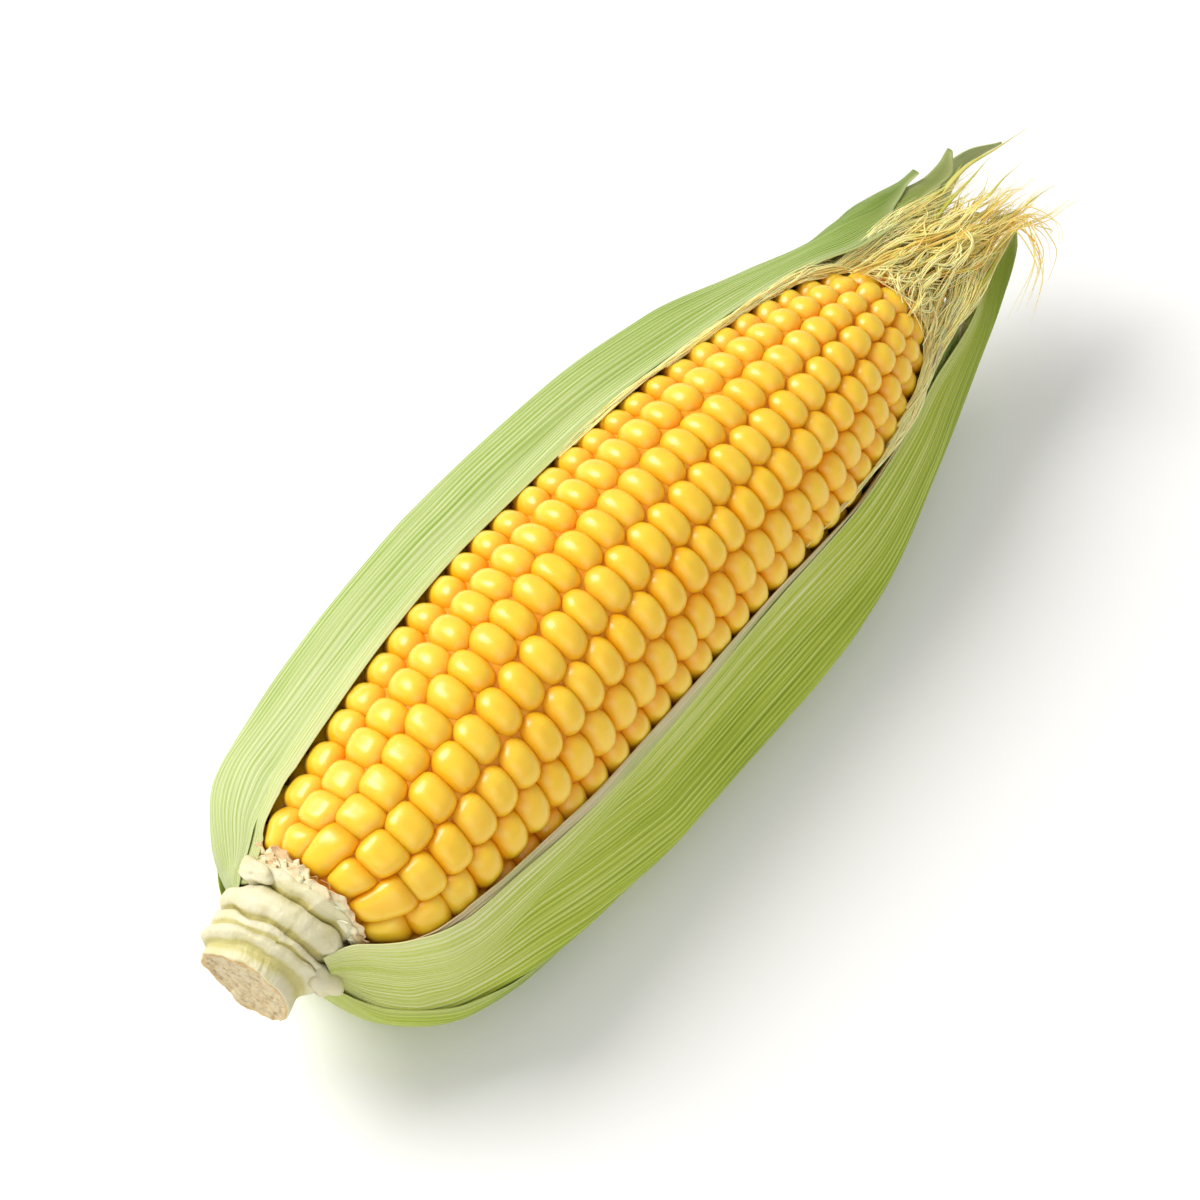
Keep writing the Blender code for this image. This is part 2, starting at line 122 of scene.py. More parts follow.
def form_radius(theta, s):
    """Radius of the closed form that the husk follows, at angle theta (degrees) and station s."""
    theta, s = np.broadcast_arrays(np.asarray(theta, float), np.asarray(s, float))
    right = smooth_curve(RIGHT_S, RIGHT_U, s)
    left = smooth_curve(LEFT_S, LEFT_U, s)
    redge = smooth_curve(REDGE_S, REDGE_R, s)
    ledge = smooth_curve(LEDGE_S, LEDGE_R, s)
    top = smooth_curve(OPEN_S, OPEN_R, s)
    near = 0.9 * (1 - step01((s - 4) / 20.0))   # the form is rounder at the butt
    k = lambda f: f + (1 - f) * near
    back = 0.5 * k(0.86) * (right + left)
    y = np.stack([back, k(0.905) * left, k(0.93) * left, k(0.965) * left, 1.012 * left,
                  ledge + 0.52 * (left - ledge), ledge, 0.35 * ledge + 0.65 * top, top, top, top,
                  0.35 * redge + 0.65 * top, redge, redge + 0.42 * (right - redge), 1.008 * right,
                  right, k(0.955) * right, k(0.87) * right, k(0.845) * right, back], -1)
    x = FORM_ANGLES
    a = (theta + 180) % 360 - 180
    h = np.diff(x)
    d = np.diff(y, axis=-1) / h
    both = d[..., :-1] * d[..., 1:] > 0
    m = np.zeros_like(y)
    m[..., 1:-1] = np.where(both, 2 * d[..., :-1] * d[..., 1:] / np.where(both, d[..., :-1] + d[..., 1:], 1), 0)
    wrap = np.where(d[..., -1] * d[..., 0] > 0, 2 * d[..., -1] * d[..., 0] / np.where(d[..., -1] * d[..., 0] > 0, d[..., -1] + d[..., 0], 1), 0)
    m[..., 0] = wrap
    m[..., -1] = wrap
    i = np.clip(np.searchsorted(x, a, side="right") - 1, 0, len(x) - 2)
    g = lambda q, j: np.take_along_axis(q, j[..., None], -1)[..., 0]
    hi = h[i]
    t = (a - x[i]) / hi
    return (g(y, i) * (1 + 2 * t) * (1 - t) ** 2 + hi * g(m, i) * t * (1 - t) ** 2
            + g(y, i + 1) * t * t * (3 - 2 * t) + hi * g(m, i + 1) * t * t * (t - 1))


def whorl_radius(theta, s, whorl, inside=0.0, thickness=HUSK_THICKNESS):
    """Radius of a husk leaf of this whorl (0 is outermost) at angle theta; inside=1 gives its inner face."""
    theta, s = np.broadcast_arrays(np.asarray(theta, float), np.asarray(s, float))
    late = whorl - 1
    shift = 1.45 * late * (1 - step01((s - 2) / 24.0))
    se = s - shift
    r = form_radius(theta, se)
    dth = (form_radius(theta + 1.5, se) - form_radius(theta - 1.5, se)) / np.radians(3.0)
    ds = (form_radius(theta, se + 1) - form_radius(theta, se - 1)) / 2
    steep = np.minimum(np.sqrt(1 + (dth / r) ** 2 + ds ** 2), 2.3)
    room = step01((s + 8) / 16.0) * (1 - 0.8 * step01((s - 203) / 15.0))
    room = room * (1 + 0.3 * step01((s - 160) / 20.0))
    side = np.abs((theta + 180) % 360 - 180)
    room = room * (1 + 0.22 * step01((side - 76) / 8.0) * step01((112 - side) / 8.0))
    thin = thickness * (0.72 + 0.28 * step01((s + 9) / 12.0))
    r = np.maximum(r - late * HUSK_PITCH * room * steep, np.where((s > 5) | ((s > 1.5) & (side < 92)), ear_radius(s) + 0.45 + thin * steep, 0))
    # the husk lies flat on the surface under it, each whorl on the one below
    a = np.radians(theta)
    down = SIN_ROLL * np.sin(a) - COS_ROLL * np.cos(a)
    low = whorl * 1.8 + 0.2 * (whorl > 0)
    limit = (REST_HEIGHT - SIN_ROLL * bow(s) - low) / np.where(down > 0.05, down, 0.05)
    limit = np.where(down > 0.05, limit, 1e3)
    r = np.minimum(r, limit)
    return r - inside * thin * steep


def to_row(s, u, v):
    """Ear frame (s along, u to the right, v out of the opening) to the row frame, in millimetres."""
    wide = (np.hypot(u - bow(s), v) - smooth_curve(LEAN_R_S, LEAN_R, s)) / 8.0
    u = u + smooth_curve(LEAN_S, LEAN_U, s) * (1 - step01(wide))
    x = s - CENTRE_X
    y = -COS_ROLL * u - SIN_ROLL * v - CENTRE_Y
    z = REST_HEIGHT - SIN_ROLL * u + COS_ROLL * v
    return np.stack(np.broadcast_arrays(x, y, z), -1)


def polar_row(s, theta, r):
    a = np.radians(theta)
    return to_row(s, bow(s) + r * np.sin(a), r * np.cos(a))


# each leaf: whorl, stations, and its two edges as angles along those stations
LEAVES = {
    "husk_under_outer": (0, (-9.3, 0, 12, 25, 40, 60, 100, 140, 160, 168),
                         (94, 92, 94, 99, 106, 114, 130, 148, 160, 166),
                         (228, 230, 230, 230, 228, 224, 212, 194, 176, 168)),
    "husk_right_outer": (1, (-8.0, -4, 2, 9, 16, 25, 40, 55, 65, 80, 110, 150, 180, 192, 200, 207),
                         (42, 42, 46, 48, 51, 54, 62, 70, 74, 74, 76, 82, 84, 83, 82, 90),
                         (166, 168, 168, 168, 168, 168, 168, 168, 168, 168, 167, 160, 140, 124, 108, 93)),
    "husk_left_outer": (1, (-8.0, 0, 12, 30, 100, 150, 165, 176, 184, 190, 194, 198),
                        (-83, -80, -77, -75, -75, -73, -69, -62, -61, -65, -70, -77),
                        (-170, -172, -172, -172, -170, -160, -148, -128, -100, -86, -82, -80)),
    "husk_right_inner": (2, (-6.2, 0, 7, 14, 25, 40, 52, 68, 120, 136, 150, 165, 178, 188, 195),
                         (60, 54, 48, 47, 51, 57, 62, 64, 70, 75, 74, 65, 58, 56, 58),
                         (150, 152, 152, 152, 152, 152, 152, 150, 146, 142, 136, 120, 98, 76, 62)),
    "husk_left_inner": (2, (-6.4, 0, 7, 20, 100, 150, 165, 176, 186, 192, 199, 204, 208),
                        (-70, -70, -70, -69, -68, -69, -65, -59, -57, -58, -64, -71, -79),
                        (-150, -154, -156, -156, -152, -146, -138, -124, -104, -82, -77, -79, -82)),
    "husk_back_inner": (3, (-5.4, 5, 40, 130, 155, 175, 192, 206, 215, 222),
                        (100, 98, 98, 104, 116, 138, 180, 214, 232, 242),
                        (262, 264, 264, 262, 264, 268, 266, 262, 254, 246)),
}


def leaf_edges(name, s):
    whorl, stations, first, second = LEAVES[name]
    return smooth_curve(stations, first, s), smooth_curve(stations, second, s)


def across(name, s, count):
    """count + 1 angles across a leaf at one station, closer together where the form bends."""
    whorl = LEAVES[name][0]
    a, b = leaf_edges(name, s)
    t = np.linspace(a, b, 121)
    r = whorl_radius(t, np.full_like(t, s), whorl)
    p = np.stack([r * np.sin(np.radians(t)), r * np.cos(np.radians(t))], -1)
    d = np.diff(p, axis=0)
    step = np.hypot(d[:, 0], d[:, 1])
    heading = np.unwrap(np.arctan2(d[:, 1], d[:, 0]))
    turn = np.abs(np.diff(heading, append=heading[-1]))
    way = np.concatenate([[0], np.cumsum(step + 12.0 * turn)])
    return np.interp(np.linspace(0, way[-1], count + 1), way, t)


# ---- meshes ---------------------------------------------------------------


def make_piece(name, points, quads, node, mat, attributes=(), tris=None):
    """A smooth piece from points in millimetres, riding on the one body, in place of a CAD node."""
    mesh = bpy.data.meshes.new(name)
    points = np.ascontiguousarray(np.asarray(points, np.float64) * 0.001, np.float32)
    quads = np.asarray(quads, np.int32).reshape(-1, 4)
    tris = np.zeros((0, 3), np.int32) if tris is None else np.asarray(tris, np.int32).reshape(-1, 3)
    mesh.vertices.add(len(points))
    mesh.vertices.foreach_set("co", points.ravel())
    mesh.loops.add(quads.size + tris.size)
    mesh.loops.foreach_set("vertex_index", np.concatenate([quads.ravel(), tris.ravel()]))
    mesh.polygons.add(len(quads) + len(tris))
    starts = np.concatenate([np.arange(len(quads)) * 4, quads.size + np.arange(len(tris)) * 3])
    mesh.polygons.foreach_set("loop_start", starts.astype(np.int32))
    mesh.update(calc_edges=True)
    mesh.validate()
    mesh.shade_smooth()
    for key, values in dict(attributes).items():
        layer = mesh.attributes.new(key, "FLOAT", "POINT")
        layer.data.foreach_set("value", np.ascontiguousarray(values, np.float32))
    obj = bpy.data.objects.new(name, mesh)
    bpy.context.scene.collection.objects.link(obj)
    mesh.materials.append(mat)
    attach(obj, "root")
    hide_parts(node)
    return obj


def hash_noise(x, y, seed):
    """Smooth value noise in two directions, -1 to 1, from a seeded lattice."""
    rng = np.random.default_rng(seed)
    table = rng.uniform(-1, 1, (64, 64))
    x, y = np.broadcast_arrays(np.asarray(x, float), np.asarray(y, float))
    xi, yi = np.floor(x).astype(int), np.floor(y).astype(int)
    fx, fy = step01(x - xi), step01(y - yi)
    at = lambda i, j: table[i % 64, j % 64]
    return ((at(xi, yi) * (1 - fx) + at(xi + 1, yi) * fx) * (1 - fy)
            + (at(xi, yi + 1) * (1 - fx) + at(xi + 1, yi + 1) * fx) * fy)


# ---- materials ------------------------------------------------------------


class Shader:
    """A small helper that wires a node material."""

    def __init__(self, name, **settings):
        self.mat = bpy.data.materials.new(name)
        self.mat.use_nodes = True
        self.tree = self.mat.node_tree
        self.bsdf = self.tree.nodes["Principled BSDF"]
        for key, value in settings.items():
            self.bsdf.inputs[key.replace("_", " ").title().replace("Ior", "IOR")].default_value = value

    def node(self, kind, inputs=None, **props):
        made = self.tree.nodes.new(kind)
        for key, value in props.items():
            setattr(made, key, value)
        for key, value in (inputs or {}).items():
            if hasattr(value, "is_output"):
                self.tree.links.new(value, made.inputs[key])
            else:
                made.inputs[key].default_value = value
        return made

    def attribute(self, name):
        return self.node("ShaderNodeAttribute", attribute_name=name).outputs["Fac"]

    def math(self, operation, a, b=0.0, c=0.0, clamp=False):
        return self.node("ShaderNodeMath", {0: a, 1: b, 2: c}, operation=operation, use_clamp=clamp).outputs[0]

    def vector(self, x, y, z):
        return self.node("ShaderNodeCombineXYZ", {0: x, 1: y, 2: z}).outputs[0]

    def noise(self, vector, scale, detail=2.0, rough=0.5, distortion=0.0):
        made = self.node("ShaderNodeTexNoise", {"Vector": vector, "Scale": scale, "Detail": detail,
                                                "Roughness": rough, "Distortion": distortion})
        return made.outputs["Fac"]

    def ramp(self, factor, stops, mode="LINEAR"):
        made = self.node("ShaderNodeValToRGB", {"Fac": factor})
        made.color_ramp.interpolation = mode
        while len(made.color_ramp.elements) < len(stops):
            made.color_ramp.elements.new(0.5)
        for element, (at, colour) in zip(made.color_ramp.elements, stops):
            element.position = at
            element.color = (*colour, 1)
        return made.outputs["Color"]

    def mix(self, factor, a, b, blend="MIX"):
        made = self.tree.nodes.new("ShaderNodeMix")
        made.data_type = "RGBA"
        made.blend_type = blend
        for socket, value in ((made.inputs[0], factor), (made.inputs[6], a), (made.inputs[7], b)):
            if hasattr(value, "is_output"):
                self.tree.links.new(value, socket)
            elif isinstance(value, tuple):
                socket.default_value = (*value, 1)
            else:
                socket.default_value = value
        return made.outputs[2]

    def map(self, value, a, b, c, d):
        return self.node("ShaderNodeMapRange", {0: value, 1: a, 2: b, 3: c, 4: d}).outputs[0]

    def link(self, socket, name):
        self.tree.links.new(socket, self.bsdf.inputs[name])

    def bump(self, height, strength, distance, normal=None):
        inputs = {"Height": height, "Strength": strength, "Distance": distance}
        if normal is not None:
            inputs["Normal"] = normal
        return self.node("ShaderNodeBump", inputs).outputs["Normal"]


def srgb(r, g, b):
    """Linear colour from 0-255 display values."""
    f = lambda c: c / 12.92 if c <= 0.04045 else ((c + 0.055) / 1.055) ** 2.4
    return tuple(f(c / 255.0) for c in (r, g, b))


def kernel_material():
    m = Shader("corn_kernel", roughness=0.4, subsurface_weight=0.6, coat_weight=0.85, coat_roughness=0.29)
    m.bsdf.inputs["Subsurface Radius"].default_value = (1.0, 0.55, 0.12)
    m.bsdf.inputs["Subsurface Scale"].default_value = 0.004
    m.bsdf.inputs["IOR"].default_value = 1.38
    starch_and_groove_shade, tint = m.attribute("starch_and_groove_shade"), m.attribute("tint")
    where = m.node("ShaderNodeTexCoord").outputs["Object"]
    mottle = m.noise(where, 260.0, 3.0, 0.55)
    # painted shade, partly the kernel's own colour: deep orange down the sides into the grooves between kernels, where
    # shade falls, through to the paler starchy crown
    colour = m.ramp(starch_and_groove_shade, ((0.0, srgb(250, 138, 0)), (0.25, srgb(250, 163, 0)),
                            (0.6, srgb(252, 183, 2)), (1.0, srgb(255, 203, 36))))
    pale = m.mix(m.math("MULTIPLY", tint, 0.55), colour, srgb(254, 209, 66))
    deep = m.mix(m.map(mottle, 0.35, 0.7, 0.0, 0.22), pale, srgb(242, 166, 20))
    m.link(deep, "Base Color")
    m.link(m.map(m.noise(where, 500.0, 2.0), 0.3, 0.7, 0.36, 0.45), "Roughness")
    fine = m.noise(where, 900.0, 2.0)
    m.link(m.bump(fine, 0.05, 0.0003), "Normal")
    return m.mat


def core_material():
    m = Shader("corn_core", roughness=0.6, subsurface_weight=0.5)
    m.bsdf.inputs["Subsurface Scale"].default_value = 0.004
    where = m.node("ShaderNodeTexCoord").outputs["Object"]
    colour = m.ramp(m.noise(where, 300.0, 3.0), ((0.3, srgb(252, 142, 0)), (0.7, srgb(255, 164, 4))))
    m.link(colour, "Base Color")
    return m.mat


def blade_material():
    m = Shader("silk_blades", roughness=0.45, subsurface_weight=0.2)
    m.bsdf.inputs["Subsurface Scale"].default_value = 0.0006
    where = m.node("ShaderNodeTexCoord").outputs["Object"]
    value = m.math("ADD", m.attribute("tone"), m.map(m.noise(where, 160.0, 2.0), 0.3, 0.7, -0.25, 0.25), clamp=True)
    m.link(m.ramp(value, ((0.0, srgb(216, 206, 116)), (0.5, srgb(190, 186, 72)), (1.0, srgb(150, 160, 44)))), "Base Color")
    return m.mat


def husk_material(name, pale, mid, deep, dry=0.0, seed=0.0, veins=50.0):
    """A leaf: parallel veins, streaks along them, paler at the butt and at the margins, dry tan where it has dried."""
    m = Shader(name, roughness=0.45, subsurface_weight=0.10, sheen_weight=0.05)
    m.bsdf.inputs["Subsurface Radius"].default_value = (0.6, 1.0, 0.25)
    m.bsdf.inputs["Subsurface Scale"].default_value = 0.0010
    m.bsdf.inputs["IOR"].default_value = 1.4
    across, along = m.attribute("across"), m.attribute("along")
    edge, inner, green = m.attribute("edge"), m.attribute("inner"), m.attribute("green")
    # veins run with the leaf: fine across, long along
    fine = m.noise(m.vector(m.math("MULTIPLY", across, 2.6 * veins), m.math("MULTIPLY", along, 1.6), seed), 1.0, 3.0, 0.65)
    broad = m.noise(m.vector(m.math("MULTIPLY", across, 0.36 * veins), m.math("MULTIPLY", along, 1.0), seed + 7.0), 1.0, 2.0, 0.5)
    cloud = m.noise(m.vector(m.math("MULTIPLY", across, 4.0), m.math("MULTIPLY", along, 3.0), seed + 3.0), 1.0, 3.0, 0.5)
    # evenly spaced veins, each with its own strength
    drift = m.math("MULTIPLY", m.noise(m.vector(m.math("MULTIPLY", across, 9.0), m.math("MULTIPLY", along, 0.8), seed + 5.0),
                                       1.0, 1.0), 1.5)
    phase = m.math("ADD", m.math("MULTIPLY", across, veins * 6.2832), drift)
    vein = m.math("MULTIPLY_ADD", m.math("SINE", phase), 0.5, 0.5)
    own = m.noise(m.vector(m.math("MULTIPLY", across, veins), 0.0, seed + 9.0), 1.0, 1.0)
    line = m.math("MULTIPLY", m.map(vein, 0.6, 0.95, 0.0, 1.0), m.map(own, 0.35, 0.65, 0.35, 1.0))
    furrow = m.math("MULTIPLY", m.map(vein, 0.4, 0.05, 0.0, 1.0), m.map(own, 0.35, 0.65, 1.0, 0.4))
    amount = m.math("ADD", green, m.map(broad, 0.3, 0.7, -0.10, 0.10))
    amount = m.math("ADD", amount, m.map(fine, 0.34, 0.66, -0.26, 0.26))
    amount = m.math("ADD", amount, m.map(cloud, 0.3, 0.7, -0.08, 0.08))
    amount = m.math("ADD", amount, m.math("MULTIPLY", line, -0.24))
    amount = m.math("ADD", amount, m.math("MULTIPLY", furrow, 0.20), clamp=True)
    colour = m.ramp(amount, ((0.0, pale), (0.5, mid), (1.0, deep)))
    colour = m.mix(m.math("MULTIPLY", inner, 0.45), colour, pale)
    margin = m.math("MULTIPLY", m.map(edge, 0.0, 0.35, 1.0, 0.0), 0.35)
    colour = m.mix(margin, colour, pale)
    if dry:
        patch = m.noise(m.vector(m.math("MULTIPLY", across, 30.0), m.math("MULTIPLY", along, 6.0), seed + 1.0), 1.0, 3.0)
        band = m.math("MULTIPLY", m.map(edge, 0.2, 0.95, 1.0, 0.0), m.map(patch, 0.25, 0.55, 0.25 * dry, dry), clamp=True)
        tan = m.mix(m.map(fine, 0.4, 0.62, 0.0, 1.0), srgb(190, 168, 122), srgb(232, 219, 182))
        colour = m.mix(band, colour, tan)
    m.link(colour, "Base Color")
    m.link(m.map(broad, 0.3, 0.7, 0.40, 0.54), "Roughness")
    normal = m.bump(fine, 0.45, 0.0004)
    m.link(m.bump(vein, 0.5, 0.0004, normal), "Normal")
    return m.mat


# ---- the cob and its kernels ----------------------------------------------


def crown_radius(s, angle):
    """How far out the crowns stand: a little further at the sides, where they press on the husk."""
    side = np.abs((np.asarray(angle, float) + 180) % 360 - 180)
    more = 0.75 * step01((side - 42) / 33.0) * (1 - step01((side - 105) / 15.0))
    return ear_radius(s) + more * step01((np.asarray(s, float) - 8) / 20.0) * (1 - step01((np.asarray(s, float) - 140) / 25.0))


def ball(n):
    """Directions and quads of a sphere made from a cube with n cells a side."""
    g = np.tan(np.linspace(-1, 1, n + 1) * math.pi / 4)
    points, quads, index = [], [], {}

    def at(p):
        key = tuple(np.round(p, 6))
        if key not in index:
            index[key] = len(points)
            points.append(p / np.linalg.norm(p))
        return index[key]

    for axis in range(3):
        for sign in (-1, 1):
            for i in range(n):
                for j in range(n):
                    corner = []
                    for di, dj in ((0, 0), (1, 0), (1, 1), (0, 1)):
                        p = np.zeros(3)
                        p[axis] = sign
                        p[(axis + 1) % 3] = g[i + di]
                        p[(axis + 2) % 3] = g[j + dj]
                        corner.append(at(p))
                    quads.append(corner if sign > 0 else corner[::-1])
    return np.array(points), np.array(quads)


BALL, BALL_QUADS = ball(10)


def kernel(s, angle, half_s, half_b, depth, square, flat, lean, rng):
    """Points and attributes of one kernel whose crown stands on the ear's surface at (s, angle)."""
    x, y, z = BALL.T
    plan = (np.abs(x) ** square + np.abs(y) ** square) ** (flat / square)
    size = (plan + np.abs(z) ** flat) ** (-1.0 / flat)
    x, y, z = x * size, y * size, z * size
    # the sides draw in towards the cob, and the crown leans a little towards the tip
    neck = 1 - 0.12 * np.clip(-z, 0, 1)
    a = x * half_s * neck + lean * half_s * np.clip(z, 0, 1) * 0.2
    b = y * half_b * neck * (1 + 0.07 * x * rng.uniform(-1, 1))
    lump = 0.035 * np.sin(2.1 * x + rng.uniform(0, 6)) * np.cos(1.9 * y + rng.uniform(0, 6))
    # some crowns have a shallow dimple
    dimple = rng.uniform(0.0, 0.08) * np.exp(-((x - 0.05) ** 2 + y ** 2) / 0.12) * (z > 0)
    c = (z * (1 + lump) - dimple) * depth - depth
    r0 = float(crown_radius(s, angle))
    slope = float(crown_radius(s + 0.5, angle) - crown_radius(s - 0.5, angle))
    slope = max(-1.5, min(1.0, slope))
    k = 1 / math.hypot(1, slope)
    along = s + k * a - k * slope * c
    r = r0 + k * slope * a + k * c
    theta = angle + np.degrees(b / max(r0 - 0.25 * depth, 3.0))
    # painted shade for the grooves: 1 at the middle of the crown, falling to 0 down the sides and towards the crown's
    # edges, where the material paints the kernel deep orange
    starch_and_groove_shade = np.clip((z - 0.05) / 0.8, 0, 1)
    rim = np.clip(1.05 - np.maximum(np.abs(x), np.abs(y)) ** 3, 0, 1)
    return polar_row(along, theta, np.maximum(r, 1.0)), 0.45 * starch_and_groove_shade + 0.55 * starch_and_groove_shade * rim


def kernel_rows(mat):
    n = len(BALL)
    for row in range(ROWS):
        rng = np.random.default_rng(100 + row)
        angle0 = row * 360.0 / ROWS
        points, starch_and_groove_shade, tint, quads = [], [], [], []
        s = -2.0 + rng.uniform(-0.4, 0.4)
        wander = rng.uniform(0, 6)
        first = True
        while True:
            pitch = float(smooth_curve(PITCH_S, PITCH, max(s, 0.0)))
            if first:
                # every other row starts with one long kernel, which staggers the rows
                pitch = 7.6 if row % 2 == 0 else 10.2
                pitch += rng.uniform(-0.4, 0.4)
                first = False
            mid = s + pitch / 2
            s += pitch
            if mid > (169.0 if row % 2 else 176.5):
                break
            old = 1 - float(step01(mid / 45.0))          # squarer near the butt
            young = float(step01((mid - 120) / 50.0))    # rounder and looser near the tip
            r0 = float(crown_radius(max(mid, 0.5), angle0))
            wide = math.pi * r0 / ROWS
            if mid > 169.0:
                wide *= 1.75
            half_s = 0.5 * pitch * (1.15 - 0.04 * young - 0.04 * old) * rng.uniform(0.98, 1.03)
            half_b = wide * (1.135 - 0.04 * young - 0.03 * old) * rng.uniform(0.985, 1.02)
            depth = (4.6 - 1.1 * young) * min(1.0, r0 / 14.0 + 0.2)
            square = 2.4 + 1.15 * old - 0.2 * young
            flat = 2.15 + 0.5 * old - 0.05 * young
            angle = angle0 + 0.9 * math.sin(mid / 31.0 + wander) + rng.uniform(-0.35, 0.35)
            p, c = kernel(mid + rng.uniform(-0.12, 0.12), angle, half_s, half_b,
                          depth, square, flat, rng.uniform(-0.6, 0.6), rng)
            quads.append(BALL_QUADS + n * len(points))
            points.append(p)
            starch_and_groove_shade.append(c)
            tint.append(np.full(n, float(np.clip(rng.normal(0.4, 0.2) + 0.2 * young, 0, 1))))
        points = np.concatenate(points)
        make_piece(f"kernel_row_{row + 1:02d}", points, np.concatenate(quads), "cob_with_kernels", mat,
                   {"starch_and_groove_shade": np.concatenate(starch_and_groove_shade), "tint": np.concatenate(tint)})


def grid_quads(rows, n, closed=False):
    """Quads of a grid of rows of n points; closed joins the last column to the first."""
    i = np.arange(rows - 1)[:, None]
    j = np.arange(n if closed else n - 1)[None, :]
    k = (j + 1) % n
    return np.stack([i * n + j, i * n + k, (i + 1) * n + k, (i + 1) * n + j], -1).reshape(-1, 4)


def core(mat):
    """The cob under the kernels, seen only down the grooves and at the tip."""
    n = 96
    angles = np.arange(n) * 360.0 / n
    rings = []
    for s in np.concatenate([[-1.0], np.linspace(0.0, 178, 60)]):
        drop = 2.9 if s > 4 else 3.0
        r = max(float(ear_radius(max(s, 0.0))) - drop, 0.8)
        wobble = 0.25 * np.sin(16 * np.radians(angles)) + 0.15 * hash_noise(angles / 9, s / 3, 5)
        rings.append(polar_row(np.full(n, s), angles, r + wobble * min(1, r / 6)))
    points = np.concatenate(rings)
    quads = grid_quads(len(rings), n, True)[:, ::-1]
    first, last = points[:n].mean(0), points[-n:].mean(0)
    m = len(points)
    points = np.vstack([points, first, last])
    j = np.arange(n)
    tris = np.concatenate([np.stack([j, (j + 1) % n, np.full(n, m)], -1),
                           np.stack([m - n + (j + 1) % n, m - n + j, np.full(n, m + 1)], -1)])
    make_piece("cob_core", points, quads, "cob_with_kernels", mat, tris=tris)


# ---- the husk -------------------------------------------------------------


def floor_limit(theta, s, clearance):
    """The radius at which a ray from the axis comes down to this height above the floor."""
    a = np.radians(theta)
    down = SIN_ROLL * np.sin(a) - COS_ROLL * np.cos(a)
    limit = (REST_HEIGHT - SIN_ROLL * bow(s) - clearance) / np.where(down > 0.05, down, 0.05)
    return np.where(down > 0.05, limit, 1e3)


def evenly(name, s, count, shift):
    """count + 1 angles evenly spaced by length across a leaf, its free margin moved by shift degrees."""
    whorl = LEAVES[name][0]
    a, b = leaf_edges(name, s)
    t = np.linspace(a, b, 241)
    k = np.linspace(0, 1, 241)
    # a margin drawn back takes the whole width with it, so that the leaf does not fold
    t = t - math.copysign(1.0, t[0]) * shift * np.clip(1 - (4 if shift > 0 else 1) * k, 0, 1) ** 1.5
    r = whorl_radius(t, np.full_like(t, s), whorl)
    x, y = r * np.sin(np.radians(t)), r * np.cos(np.radians(t))
    way = np.concatenate([[0], np.cumsum(np.hypot(np.diff(x), np.diff(y)))])
    return np.interp(np.linspace(0, way[-1], count + 1), way, t), way[-1]


